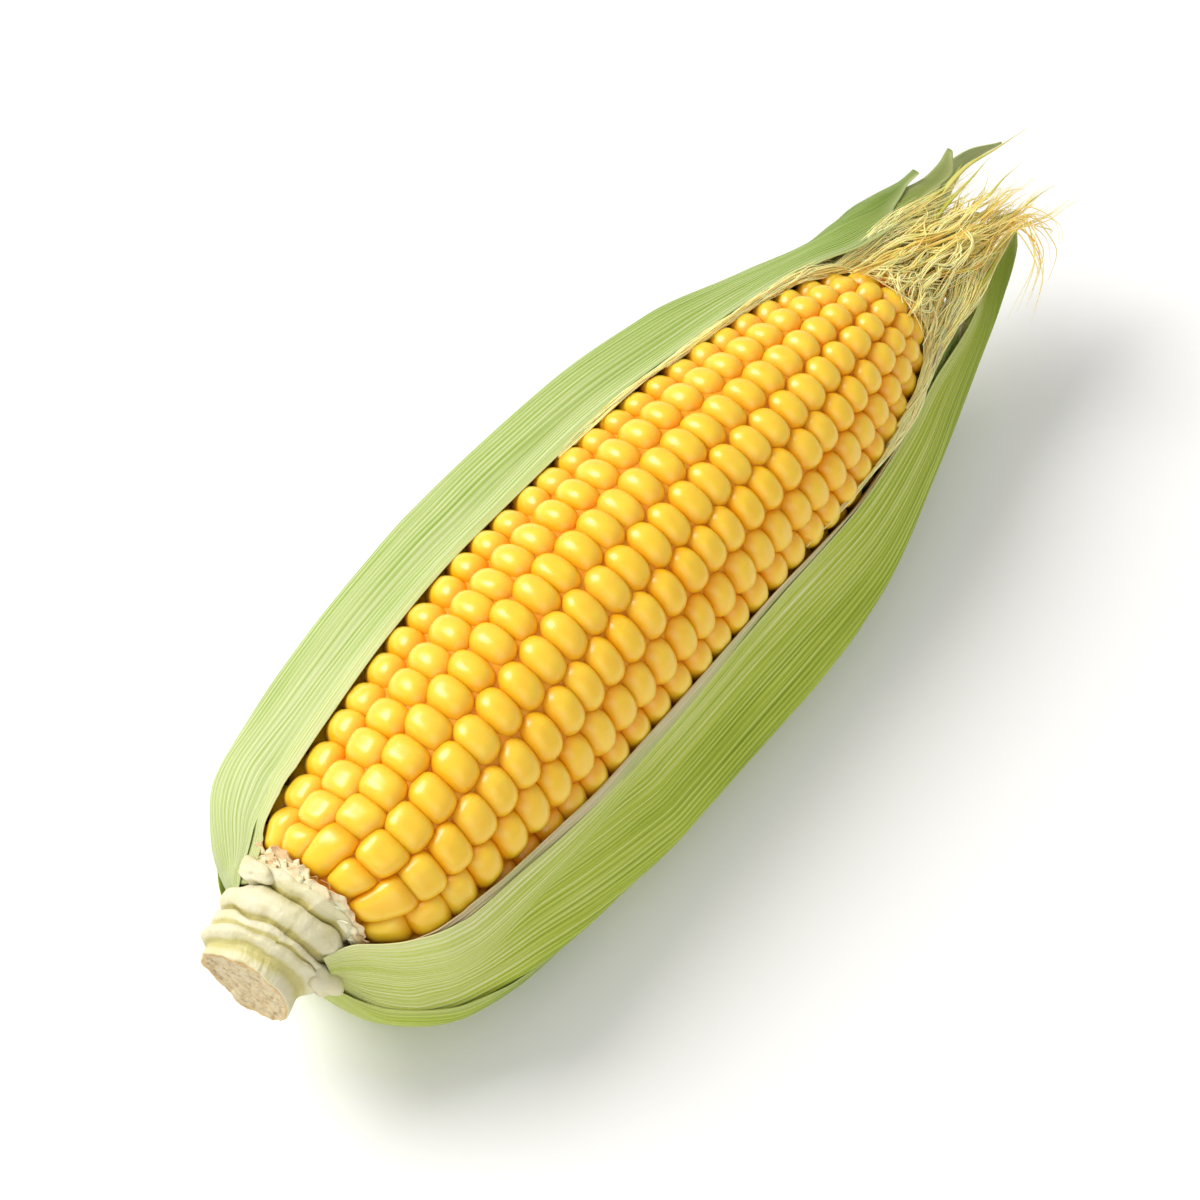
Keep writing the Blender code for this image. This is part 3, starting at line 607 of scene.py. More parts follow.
def husk_leaf(name, mat, cells, rows, ribs, seed, wave=0.45, green_across=(0.5, 0.5, 0.5), green_along=None,
              curl=0.0, skin=0.42, reach=None, lift=None, hug=0.0, hook=(0, 0, 0), crease=()):
    """A leaf with raised parallel ribs, soft waves, creases, and a thickness of its own.

    reach moves the free margin over the kernels (degrees along s), lift raises the whole leaf (mm along s), hug
    presses the free margin down (mm), and hook bends the last part of the tip (length, to the right, outwards)."""
    whorl, stations = LEAVES[name][:2]
    s0, s1 = stations[0], stations[-1]
    t = np.linspace(0, 1, rows + 1)
    # closer stations at the butt, where the leaf turns outwards, and at the tip
    along = s0 + (s1 - s0) * (0.55 * t + 0.45 * t * t * (3 - 2 * t))
    along = np.unique(np.concatenate([along, s0 + (s1 - s0) * np.linspace(0, 0.12, rows // 6)]))
    k = np.linspace(0, 1, cells + 1)
    outer, inner, edge, greens = [], [], [], []
    for s in along:
        further = 0.0
        if reach:
            further = float(smooth_curve(*reach, s)) + 0.8 * float(hash_noise(s / 14.0, 0.5, seed + 6)) * float(step01((s - 12) / 20))
        theta, width = evenly(name, s, cells, further)
        at = np.full_like(theta, s)
        r = whorl_radius(theta, at, whorl)
        a = np.radians(theta)
        near = np.minimum(k, 1 - k) * width
        rise = step01((s - s0) / 16.0) * step01((s1 - s) / 30.0)
        fine = min(1.0, width / 20.0)
        strength = 0.7 + 0.3 * hash_noise(np.floor(k * ribs) * 0.37, 0.5, seed + 5)
        rib = (0.5 + 0.5 * np.cos(2 * math.pi * (k * ribs + 0.25 * hash_noise(k * 9, s / 55.0, seed)))) * 0.075 * fine * strength
        soft = wave * rise * hash_noise(k * 5.0 + 3, s / 26.0, seed + 1)
        soft = soft + 0.45 * wave * rise * hash_noise(k * 11.0, s / 60.0, seed + 2)
        hem = curl * rise * np.exp(-near / 2.2) * hash_noise(s / 9.0, 2.0 + 0 * k, seed + 3)
        for place, deep, broad, c0, c1 in crease:
            span = step01((s - c0) / 18.0) * step01((c1 - s) / 18.0)
            soft = soft - deep * span * np.exp(-((k - place - 0.01 * math.sin(s / 17.0)) * width / broad) ** 2)
        r = r + (rib + soft + hem) * np.clip(near / 1.2, 0.25, 1)
        if lift:
            r = r + float(smooth_curve(*lift, s))
        pressed = float(smooth_curve(*hug, s)) if isinstance(hug, tuple) else hug * float(step01((s + 8) / 14.0))
        r = r - pressed * np.exp(-((k * width) / 3.4) ** 2)
        low = 1.8 * whorl + 0.2 * (whorl > 0)
        r = np.minimum(r, floor_limit(theta, at, 0.55 * low))
        d = np.gradient(r, a) / r
        steep = np.minimum(np.sqrt(1 + d ** 2), 2.3)
        thick = skin * (0.55 + 0.45 * np.clip(near / 1.5, 0, 1)) * steep
        bend = np.clip((s - (s1 - hook[0])) / max(hook[0], 1), 0, 1) ** 2 if hook[0] else 0.0
        for r_face, face in ((r, outer), (r - thick, inner)):
            face.append(to_row(at, bow(at) + r_face * np.sin(a) + hook[1] * bend, r_face * np.cos(a) + hook[2] * bend))
        edge.append(np.clip(near / 6.0, 0, 1))
        base = float(step01((s + 6) / 55.0)) if green_along is None else float(np.interp(s, *green_along))
        side = np.interp(k, np.linspace(0, 1, len(green_across)), green_across)
        greens.append(np.clip(side * (0.25 + 0.75 * base), 0, 1))
    m, n = len(along), cells + 1
    points = np.concatenate([np.array(outer).reshape(-1, 3), np.array(inner).reshape(-1, 3)])
    top = grid_quads(m, n)
    below = m * n
    i, j = np.arange(m - 1), np.arange(cells)
    left = np.stack([i * n, (i + 1) * n, below + (i + 1) * n, below + i * n], -1)
    right = np.stack([(i + 1) * n + cells, i * n + cells, below + i * n + cells, below + (i + 1) * n + cells], -1)
    start = np.stack([j + 1, j, below + j, below + j + 1], -1)
    e = (m - 1) * n
    end = np.stack([e + j, e + j + 1, below + e + j + 1, below + e + j], -1)
    quads = np.concatenate([top, (top + below)[:, ::-1], left, right, start, end])
    count = m * n
    attributes = {
        "across": np.tile(np.tile(k, m), 2),
        "along": np.tile(np.repeat(along / 100.0, n), 2),
        "edge": np.tile(np.array(edge).ravel(), 2),
        "inner": np.concatenate([np.zeros(count), np.ones(count)]),
        "green": np.tile(np.array(greens).ravel(), 2),
    }
    return make_piece("leaf_" + name[5:], points, quads, name, mat, attributes)


# ---- the shank ------------------------------------------------------------

# the outline from the middle of the cut face to under the kernels: station, radius, waviness, and how far
# the ring tilts towards the right-hand side
SHANK_LINE = (
    (-18.5, 0.0, 0.3, 0.10), (-18.6, 3.0, 0.3, 0.10), (-18.7, 6.0, 0.3, 0.10), (-18.9, 8.3, 0.3, 0.10),
    (-19.1, 9.3, 0.45, 0.10), (-18.7, 9.9, 0.4, 0.12), (-17.6, 9.9, 0.3, 0.16), (-16.2, 9.8, 0.3, 0.20),
    (-15.3, 10.2, 0.4, 0.25), (-14.6, 11.2, 0.5, 0.28), (-13.6, 11.9, 0.5, 0.30), (-12.7, 11.5, 0.5, 0.29),
    (-12.2, 10.9, 0.5, 0.27), (-11.6, 11.5, 0.6, 0.25), (-10.8, 11.6, 0.7, 0.23), (-10.2, 10.9, 0.6, 0.22),
    (-10.3, 10.0, 0.5, 0.22), (-9.6, 10.6, 0.5, 0.22), (-8.8, 12.0, 0.4, 0.21), (-7.4, 12.9, 0.3, 0.20),
    (-5.8, 13.0, 0.4, 0.18), (-4.6, 12.3, 0.5, 0.14), (-4.2, 11.0, 0.6, 0.10), (-4.6, 10.4, 0.6, 0.08),
    (-3.8, 12.4, 0.9, 0.06), (-3.0, 13.8, 1.0, 0.05), (-2.0, 14.2, 1.0, 0.04), (-1.2, 13.4, 0.8, 0.02),
    (-1.0, 11.6, 0.4, 0.0), (-0.8, 8.0, 0.2, 0.0), (-0.7, 3.0, 0.1, 0.0),
)


def shank(mat):
    n, steps = 300, 7
    line = np.array(SHANK_LINE)
    t = np.arange(len(line), dtype=float)
    fine = np.linspace(0, len(line) - 1, (len(line) - 1) * steps + 1)
    s, r, w, tilt = (smooth_curve(t, line[:, i], fine) for i in range(4))
    angles = np.arange(n) * 360.0 / n
    a = np.radians(angles)
    top = step01((np.cos(a - math.radians(-12)) - 0.35) / 0.4)
    rings, face, height, low = [], [], [], []
    for k in range(len(fine)):
        ring = fine[k] / 3.3
        wave = (0.5 * np.sin(2 * a + 0.9 * ring) + 0.35 * np.sin(5 * a + 1.7 * ring)
                + 0.25 * np.sin(9 * a + 2.3 * ring) + 0.5 * hash_noise(angles / 13.0, ring, 11))
        along = s[k] + w[k] * wave * min(1.0, r[k] / 8.0)
        rough = 0.14 * hash_noise(angles / 6.0, fine[k] / 2.6, 12) + 0.05 * hash_noise(angles / 2.0, fine[k], 13)
        radius = r[k] * (1 + 0.03 * np.sin(3 * a + 0.4) + 0.02 * np.sin(2 * a + 2)) + rough * min(1.0, r[k] / 5.0)
        if s[k] > -15.5:
            # the edges of the leaf scars are cut unevenly
            radius = radius + 0.3 * w[k] * hash_noise(angles / 11.0, ring * 1.2, 15)
        if s[k] > -6.4:
            sides = step01((s[k] + 6.4) / 2.0)
            radius = radius - (1 - top) * sides * np.clip(radius - 10.4, 0, None)
        # the cut is not quite flat, and a little torn at its lower edge
        slant = 0.5 * np.cos(a - 0.5) * np.clip((-13.0 - s[k]) / 6.0, 0, 1) * r[k] / 10.0
        slant = slant + tilt[k] * r[k] * np.sin(a)
        pit = 0.22 * hash_noise(angles / 6.0 * max(r[k], 1) / 6.0, r[k] * 1.3, 14) if fine[k] < 4.2 else 0.0
        rings.append(polar_row(along + slant + pit, angles, np.maximum(radius, 0.02)))
        face.append(np.full(n, 1.0 if fine[k] < 4.3 else 0.0))
        height.append(np.full(n, fine[k] / (len(line) - 1)))
        # painted shade: deep in a groove between the rings the skin is painted darker, where shade falls
        around = np.interp(fine[k] + np.array([-2.0, 2.0]), t, line[:, 1]).mean()
        low.append(np.full(n, float(np.clip(0.5 + (around - r[k]) * 0.6, 0, 1))))
    points = np.concatenate(rings)
    quads = grid_quads(len(rings), n, True)
    make_piece("shank_stub", points, quads, "shank", mat,
               {"cut": np.concatenate(face), "height": np.concatenate(height), "low": np.concatenate(low),
                "radial": np.repeat(r / 10.0, n)})


def leaf_base(mat):
    """The fleshy lumps, right and left, where the leaves' bases grow out of the shank."""
    x, y, z = BALL.T
    ones = np.ones(len(x))
    for name, s0, long, skew, angle, spread, r0, high, ripple in (
            ("leaf_base_right", -8.9, 2.9, 1.5, 78, 30, 10.6, 3.3, 0.0), ("leaf_base_left", -4.3, 2.2, -1.0, -68, 27, 13.4, 3.1, 2.0)):
        lump = (1 + 0.12 * np.sin(3 * x + 1 + ripple) * np.cos(4 * y) + 0.07 * np.sin(7 * z + 2 * x + ripple)
                + 0.10 * np.sin(6 * y + 2 * x + ripple))
        s = s0 + long * x * lump + skew * np.clip(y, -1, 1)
        make_piece(name + "_lump", polar_row(s, angle + spread * y * lump, r0 + high * z * lump), BALL_QUADS, "shank",
                   mat, {"cut": 0 * ones, "height": 0.5 * ones, "low": 0.35 * ones, "radial": 0.5 * ones})


def shank_material():
    m = Shader("corn_shank", roughness=0.5, subsurface_weight=0.25)
    m.bsdf.inputs["Subsurface Radius"].default_value = (1.0, 0.85, 0.4)
    m.bsdf.inputs["Subsurface Scale"].default_value = 0.0015
    where = m.node("ShaderNodeTexCoord").outputs["Object"]
    cut, radial, low = m.attribute("cut"), m.attribute("radial"), m.attribute("low")
    patch = m.noise(where, 130.0, 3.0, 0.5)
    small = m.noise(where, 700.0, 3.0, 0.6)
    # painted shade: the low attribute darkens the skin in the grooves between the rings
    value = m.math("ADD", m.map(patch, 0.3, 0.7, 0.0, 0.6), m.map(low, 0.35, 0.9, 0.35, -0.35), clamp=True)
    side = m.ramp(value, ((0.0, srgb(194, 184, 116)), (0.3, srgb(206, 198, 142)), (0.6, srgb(213, 206, 166)),
                          (1.0, srgb(219, 212, 184))))
    side = m.mix(m.map(small, 0.56, 0.75, 0.0, 0.35), side, srgb(206, 180, 120))
    flesh = m.ramp(small, ((0.3, srgb(168, 142, 96)), (0.46, srgb(208, 188, 142)), (0.7, srgb(226, 212, 172))))
    flesh = m.mix(m.map(m.noise(where, 260.0, 2.0), 0.5, 0.75, 0.0, 0.4), flesh, srgb(214, 176, 112))
    rim = m.map(radial, 0.84, 0.95, 0.0, 0.75)
    flesh = m.mix(rim, flesh, srgb(206, 166, 100))
    m.link(m.mix(cut, side, flesh), "Base Color")
    m.link(m.map(patch, 0.3, 0.7, 0.42, 0.6), "Roughness")
    normal = m.bump(small, 0.5, 0.0005)
    m.link(m.bump(patch, 0.3, 0.0010, normal), "Normal")
    return m.mat


def chaff(mat):
    """The papery ring of glumes between the shank and the first kernels: soft curled flaps, with torn brown threads."""
    rng = np.random.default_rng(31)
    points, quads, tone = [], [], []
    across_n, up_n = 10, 8
    total = 84
    for turn in range(total):
        angle = 360.0 * turn / total + rng.uniform(-3, 3)
        layer = turn % 3
        wide = rng.uniform(10, 24)
        s0 = -2.6 + 0.7 * layer + rng.uniform(-0.3, 0.3)
        r0 = 13.2 + 0.7 * layer + rng.uniform(-0.3, 0.3)
        tall = rng.uniform(1.2, 2.6)
        lean = rng.uniform(0.55, 1.1)
        curl = rng.uniform(-1.2, 0.3)
        twist = rng.uniform(-3, 3)
        base = len(points) * (across_n + 1) * (up_n + 1)
        i, j = np.meshgrid(np.linspace(0, 1, up_n + 1), np.linspace(-1, 1, across_n + 1), indexing="ij")
        ragged = 1 - 0.55 * np.abs(j) ** 2.4 * i + 0.10 * np.sin(j * 6 + turn) * i
        s = s0 + tall * i * ragged * (1 - 0.35 * lean)
        r = r0 + lean * tall * i + curl * i ** 2 + 0.3 * np.sin(j * 4 + turn) * i
        theta = angle + wide * 0.5 * j * (1 - 0.3 * i) + twist * i
        points.append(polar_row(s.ravel(), theta.ravel(), r.ravel()))
        quads.append(grid_quads(up_n + 1, across_n + 1) + base)
        tone.append(np.clip(np.full(points[-1].shape[0], rng.uniform(0.2, 1)) - 0.25 * i.ravel() ** 2, 0, 1))
    obj = make_piece("chaff_ring", np.concatenate(points), np.concatenate(quads), "shank", mat,
                     {"tone": np.concatenate(tone)})
    thick = obj.modifiers.new("thickness", "SOLIDIFY")
    thick.thickness = 0.0002
    # torn threads round the ring
    lines, radii, tones = [], [], []
    for _ in range(30):
        angle, span = rng.uniform(-130, 130), rng.uniform(8, 34) * rng.choice((-1, 1))
        s0, r0 = rng.uniform(-2.2, -0.2), rng.uniform(0, 1)
        line = []
        for t in np.linspace(0, 1, 6):
            s = s0 + rng.uniform(-0.7, 0.7) + 1.2 * (t - 0.5) * rng.uniform(-1, 1)
            r = 13.8 + 0.8 * (s + 1.0) + 0.9 * r0 + rng.uniform(-0.2, 0.3)
            theta = math.radians(angle + span * t)
            line.append([s, float(bow(s)) + r * math.sin(theta), r * math.cos(theta)])
        lines.append(through(line, 18))
        radii.append(rng.uniform(0.07, 0.12))
        tones.append(float(np.clip(rng.normal(0.1, 0.12), 0, 1)))
    strands("chaff_threads", "shank", lines, radii, mat, tones)


def chaff_material():
    m = Shader("corn_chaff", roughness=0.6, subsurface_weight=0.2)
    m.bsdf.inputs["Subsurface Scale"].default_value = 0.001
    where = m.node("ShaderNodeTexCoord").outputs["Object"]
    streak = m.noise(where, 420.0, 3.0, 0.6)
    tone = m.attribute("tone")
    value = m.math("ADD", m.math("MULTIPLY", tone, 0.7), m.map(streak, 0.3, 0.7, -0.1, 0.35), clamp=True)
    colour = m.ramp(value, ((0.0, srgb(180, 124, 72)), (0.25, srgb(222, 192, 142)), (0.5, srgb(234, 218, 178)),
                            (0.9, srgb(240, 230, 196))))
    m.link(colour, "Base Color")
    m.link(m.bump(streak, 0.3, 0.0003), "Normal")
    return m.mat


# ---- the silk -------------------------------------------------------------


def strands(name, node, lines, radii, mat, tones, flat=1.0):
    """Thin round threads, each along its own line of points in the ear frame (s, u, v)."""
    sides = 5
    turn = np.arange(sides) * 2 * math.pi / sides
    points, quads, tone, along = [], [], [], []
    start = 0
    for line, radius, value in zip(lines, radii, tones):
        line = np.asarray(line)
        p = to_row(line[:, 0], line[:, 1], line[:, 2])
        p[:, 2] = np.maximum(p[:, 2], 0.4)
        count = len(p)
        way = np.gradient(p, axis=0)
        way /= np.linalg.norm(way, axis=1, keepdims=True) + 1e-9
        side = np.cross(way, np.array([0.13, 0.31, 0.94]))
        side /= np.linalg.norm(side, axis=1, keepdims=True) + 1e-9
        up = np.cross(side, way)
        t = np.linspace(0, 1, count)
        tip = 5 if flat == 1.0 else 1.8
        width = radius * np.minimum(1, 0.45 + 3 * t) * np.clip((1 - t) * tip, 0.25 if flat == 1.0 else 0.1, 1)
        ring = (side[:, None, :] * np.cos(turn)[None, :, None] + flat * up[:, None, :] * np.sin(turn)[None, :, None])
        points.append((p[:, None, :] + ring * width[:, None, None]).reshape(-1, 3))
        quads.append(grid_quads(count, sides, True) + start)
        tone.append(np.full(count * sides, value))
        along.append(np.repeat(t, sides))
        start += count * sides
    return make_piece(name, np.concatenate(points), np.concatenate(quads), node, mat,
                      {"tone": np.concatenate(tone), "along": np.concatenate(along)})


def through(controls, count):
    """A smooth line through control points."""
    controls = np.asarray(controls, float)
    way = np.concatenate([[0], np.cumsum(np.linalg.norm(np.diff(controls, axis=0), axis=1))])
    t = np.linspace(0, way[-1], count)
    return np.stack([smooth_curve(way, controls[:, i], t) for i in range(3)], -1)


def wavy(line, rng, size, bends=2.0):
    """The same line with a soft wave of its own, none at its root."""
    t = np.linspace(0, 1, len(line))
    grow = np.clip(t * 4, 0, 1)
    for i, amount in ((0, 0.5), (1, 1.0), (2, 0.8)):
        for k in (1.0, 2.1):
            phase, pace = rng.uniform(0, 6.28), bends * k * rng.uniform(0.7, 1.4)
            line[:, i] += size * amount / k * grow * np.sin(6.28 * pace * t + phase)
    return line


def on_ear(s, angle, lift):
    a = math.radians(angle)
    r = float(ear_radius(s)) + lift
    return [s, float(bow(s)) + r * math.sin(a), r * math.cos(a)]


def silk_material():
    m = Shader("corn_silk", roughness=0.4, subsurface_weight=0.3, sheen_weight=0.1)
    m.bsdf.inputs["Subsurface Scale"].default_value = 0.0006
    tone = m.attribute("tone")
    where = m.node("ShaderNodeTexCoord").outputs["Object"]
    vary = m.noise(where, 200.0, 2.0)
    value = m.math("ADD", tone, m.map(vary, 0.3, 0.7, -0.1, 0.1), clamp=True)
    colour = m.ramp(value, ((0.0, srgb(255, 242, 174)), (0.45, srgb(252, 226, 124)), (0.7, srgb(246, 204, 90)),
                            (1.0, srgb(214, 150, 54))))
    m.link(colour, "Base Color")
    return m.mat


# where locks of silk end: station, distance right, height, how many strands, how brown
LOCKS = (
    (218.5, 12.5, 5, 7, 0.45), (217, 5.5, 6, 12, 0.40), (213, 9.5, 6, 13, 0.45), (214, 1.0, 7, 13, 0.28),
    (210, -2.5, 7, 16, 0.20), (208, 5.5, 8, 34, 0.34), (205, -5.0, 6, 18, 0.15), (202, 2.0, 9, 40, 0.26),
    (198, -2.5, 8, 30, 0.15), (199, 6.0, 9, 36, 0.36), (193, 1.5, 8, 34, 0.20), (204, 8.0, 8, 24, 0.42),
    (197, -8.0, 6, 10, 0.15), (195, 6.5, 8, 22, 0.30),
)
# single threads that droop over the tip of the right-hand leaf
DROOPING = ((204, 18.5, 1, 3), (198, 20.0, 0, 3), (193, 24.0, -1, 2), (191, 19.0, 0, 2), (210, 15.0, 3, 4))
# narrow yellow-green blades that stand among the silk: station, right, height of the foot and of the tip, width
BLADES = (
    ((186, -8.0, 3.0), (222.0, -4.3, 7.0), 0.75), ((184, -5.0, 4.0), (211.0, -5.2, 7.0), 0.6),
    ((188, -4.0, 5.0), (214.0, 0.0, 8.0), 0.55), ((186, -7.0, 3.5), (205.0, -8.5, 6.5), 0.6),
    ((190, 2.0, 5.0), (216.0, 7.5, 8.0), 0.5), ((185, 8.0, 4.5), (205.0, 7.5, 8.0), 0.6),
    ((180, 12.0, 4.0), (199.0, 8.5, 7.0), 0.7), ((189, -1.0, 6.0), (208.0, 3.0, 9.0), 0.45),
)
# how far right the silk goes before it meets the margin of the right-hand leaf
SIDE_S = (150, 170, 185, 195, 204, 212, 222)
SIDE_U = (22.0, 18.5, 15.0, 10.8, 8.8, 13.5, 16.0)


def held(line):
    """The same line kept left of the right-hand leaf's margin, with a soft stop."""
    line = np.asarray(line)
    limit = smooth_curve(SIDE_S, SIDE_U, line[:, 0])
    over = line[:, 1] - limit + 1.5
    line[:, 1] = np.where(over > 0, limit - 1.5 + 1.5 * np.tanh(over / 3.0), line[:, 1])
    return line


def lock(controls, count, number, rng, size, bends, spread, hold=True):
    """A lock of strands that run together along one wavy line, and part a little at its end."""
    line = wavy(through(controls, count), rng, size, bends)
    t = np.linspace(0, 1, count)
    made = []
    for _ in range(number):
        own = line + rng.normal(0, 1, 3) * spread * (0.35 + 0.65 * t[:, None])
        own = own + rng.normal(0, 1, 3) * 2.2 * spread * t[:, None] ** 4
        own = wavy(own, rng, 0.22 * size + 0.10, bends * 1.6)
        keep = max(12, int(count * rng.uniform(0.82, 1.0)))
        own = own[:keep]
        made.append(held(own) if hold else own)
    return made


def silk(mat):
    rng = np.random.default_rng(77)
    lines, radii, tones = [], [], []
    # locks out of the tip of the ear, each drawn together and then spreading at its end
    for end_s, end_u, end_v, number, brown in LOCKS:
        left = number
        while left > 0:
            together = min(left, int(rng.integers(4, 9)))
            left -= together
            home = -end_u * 2.5 + rng.normal(0, 45) if rng.random() < 0.45 else end_u * 3.0 + rng.normal(0, 42)
            home = float(np.clip(home, -115, 115))
            s0 = rng.uniform(166, 180)
            p0 = on_ear(s0, home, rng.uniform(0.1, 1.0))
            far = np.array([end_s, end_u, end_v]) + rng.normal(0, 1, 3) * np.array([3.2, 1.8, 1.5])
            neck_s = max(s0 + 4, 181 + rng.uniform(-2, 3))
            neck = [neck_s, 0.6 * p0[1] + rng.normal(0, 0.8), 0.5 * max(p0[2], -3) + 2.8 + rng.normal(0, 0.6)]
            bend = rng.normal(0, 1.6)
            gather = [0.55 * neck_s + 0.45 * end_s + rng.normal(0, 1.0), 0.45 * neck[1] + 0.5 * end_u + bend,
                      0.5 * (neck[2] + end_v) + 0.6 + rng.normal(0, 0.9)]
            controls = [p0, neck, gather, 0.5 * (np.array(gather) + far) + rng.normal(0, 0.6, 3), far]
            shade = brown + rng.normal(0, 0.15)
            for line in lock(controls, 30, together, rng, rng.uniform(0.2, 0.9), 1.3, 0.42):
                lines.append(line)
                radii.append(rng.uniform(0.10, 0.18))
                tones.append(float(np.clip(shade + rng.normal(0, 0.09), 0, 1)))
    for end_s, end_u, end_v, number in DROOPING:
        for _ in range(number):
            p0 = on_ear(rng.uniform(168, 179), rng.uniform(0, 80), 0.6)
            top = [204 + rng.uniform(-3, 3), 8.0 + rng.uniform(-2, 2), 9.5 + rng.uniform(-1, 1)]
            far = np.array([end_s, end_u, end_v]) + rng.normal(0, 1, 3) * np.array([2.0, 1.2, 1.5])
            over = 0.5 * (np.array(top) + far) + np.array([2.0, 1.5, 1.5])
            lines.append(wavy(through([p0, [188, 4.0 + rng.normal(0, 1.5), 6.5], top, over, far], 30), rng,
                              rng.uniform(0.2, 0.6), 1.2))
            radii.append(rng.uniform(0.11, 0.16))
            tones.append(float(np.clip(0.45 + rng.normal(0, 0.2), 0, 1)))
    # a short tangle over the very tip
    for _ in range(240):
        a0, a1 = rng.uniform(-100, 100), rng.uniform(-100, 100)
        s0 = rng.uniform(168, 179)
        line = [on_ear(s0, a0, 0.6), on_ear(min(s0 + 4, 180), 0.6 * a0 + 0.4 * a1, 2.0 + rng.uniform(0, 1)),
                [184 + rng.uniform(-2, 3), rng.normal(1.5, 3.0), 3.5 + rng.normal(0, 1.4)],
                [190 + rng.uniform(-3, 5), rng.normal(2.0, 3.5), 5.5 + rng.normal(0, 1.3)]]
        lines.append(wavy(through(line, 20), rng, 0.5, 1.6))
        radii.append(rng.uniform(0.10, 0.17))
        tones.append(float(np.clip(rng.normal(0.05, 0.08), 0, 1)))
    strands("silk_bunch", "silk_tuft", lines, radii, mat, tones)
    # the hidden side of the bunch fills the hollow between the tip of the ear and the leaves behind it
    low = np.random.default_rng(78)
    lines, radii, tones = [], [], []
    for _ in range(34):
        p0 = on_ear(low.uniform(166, 179), 180 + low.uniform(-88, 88), 0.5)
        end_s = low.uniform(188, 198)
        angle, out = math.radians(180 + low.uniform(-80, 80)), low.uniform(1.0, 8.0)
        far = [end_s, float(bow(end_s)) + out * math.sin(angle), 1.5 + out * math.cos(angle)]
        middle = [184 + low.uniform(-1.5, 1.5), 0.65 * p0[1] + low.normal(0, 0.6), 0.65 * p0[2] + low.normal(0, 0.6)]
        for line in lock([p0, middle, far], 24, 6, low, 0.4, 1.3, 0.5):
            lines.append(line)
            radii.append(low.uniform(0.11, 0.18))
            tones.append(float(np.clip(low.normal(0.2, 0.12), 0, 1)))
    strands("silk_low", "silk_tuft", lines, radii, mat, tones)
    lines, radii, tones = [], [], []
    for foot, tip, width in BLADES:
        foot, tip = np.array(foot), np.array(tip)
        middle = 0.5 * (foot + tip) + np.array([0.0, rng.uniform(-1.2, 1.2), 1.5])
        lines.append(wavy(through([foot, middle, tip], 26), rng, 0.35, 0.8))
        radii.append(width)
        tones.append(rng.uniform(0.2, 0.8))
    strands("silk_blades", "silk_tuft", lines, radii, blade_material(), tones, flat=0.3)

    for side, node in ((-1, "silk_left_lock"), (1, "silk_right_lock")):
        lines, radii, tones = [], [], []
        for _ in range(34 if side > 0 else 27):
            late = rng.random() < 0.55
            s0 = (rng.uniform(146, 170) if late else rng.uniform(112, 150)) if side > 0 else (
                rng.uniform(140, 170) if late else rng.uniform(90, 145))
            spread = rng.uniform(0, 1)
            edge = 68 - 20 * float(step01((s0 - 140) / 38)) * spread
            line = [on_ear(s0, side * (edge + rng.uniform(-3, 2)), rng.uniform(0.3, 0.9))]
            s = s0
            lift = rng.uniform(0.4, 1.3)
            while s < 166:
                s += rng.uniform(7, 12)
                older = float(step01((s - 132) / 45))
                angle = edge + 5 * older * spread - 5 * older * (1 - spread)
                line.append(on_ear(min(s, 173), side * (angle + rng.uniform(-2, 2)), lift + 1.4 * older * spread))
            end_s = rng.uniform(188, 211)
            if side > 0:
                end_u = rng.normal(3.0, 4.0) + 0.25 * (end_s - 195)
            else:
                end_u = rng.normal(-4.0, 3.2)
            last = line[-1]
            line.append([0.6 * max(s, 174) + 0.4 * end_s, 0.72 * last[1] + 0.28 * end_u, 0.6 * last[2] + 2.6])
            line.append([end_s, end_u, rng.uniform(4.0, 9.0)])
            shade = rng.normal(0.14, 0.12)
            for strand in lock(line, 38, int(rng.integers(4, 7)), rng, rng.uniform(0.12, 0.4), 2.0, 0.40):
                lines.append(strand)
                radii.append(rng.uniform(0.09, 0.16))
                tones.append(float(np.clip(shade + rng.normal(0, 0.08), 0, 1)))
        strands("silk_" + ("left" if side < 0 else "right"), node, lines, radii, mat, tones)


# ---- the room: a pale floor, soft light, and the camera -----------------------


def look_at(obj, target):
    obj.rotation_euler = (Vector(target) - obj.location).to_track_quat("-Z", "Y").to_euler()


def make_camera():
    elevation, heading = math.radians(58.8), math.radians(39.6)
    target = Vector(to_row(83.0, 0.0, 0.0) * 0.001)
    away = Vector((-math.cos(elevation) * math.cos(heading), -math.cos(elevation) * math.sin(heading),
                   math.sin(elevation)))
    data = bpy.data.cameras.new("camera")
    data.sensor_width = 36.0
    data.lens = 36.0 * 5.25 * 650.0 / 1200.0
    data.clip_start = 0.01
    camera = bpy.data.objects.new("camera", data)
    camera.location = target + 0.65 * away
    look_at(camera, target)
    bpy.context.scene.collection.objects.link(camera)
    bpy.context.scene.camera = camera
    return camera


def area_light(name, location, target, size, power, colour=(1, 1, 1)):
    data = bpy.data.lights.new(name, "AREA")
    data.shape = "DISK"
    data.size = size
    data.energy = power
    data.color = colour
    light = bpy.data.objects.new(name, data)
    light.location = location
    look_at(light, target)
    bpy.context.scene.collection.objects.link(light)


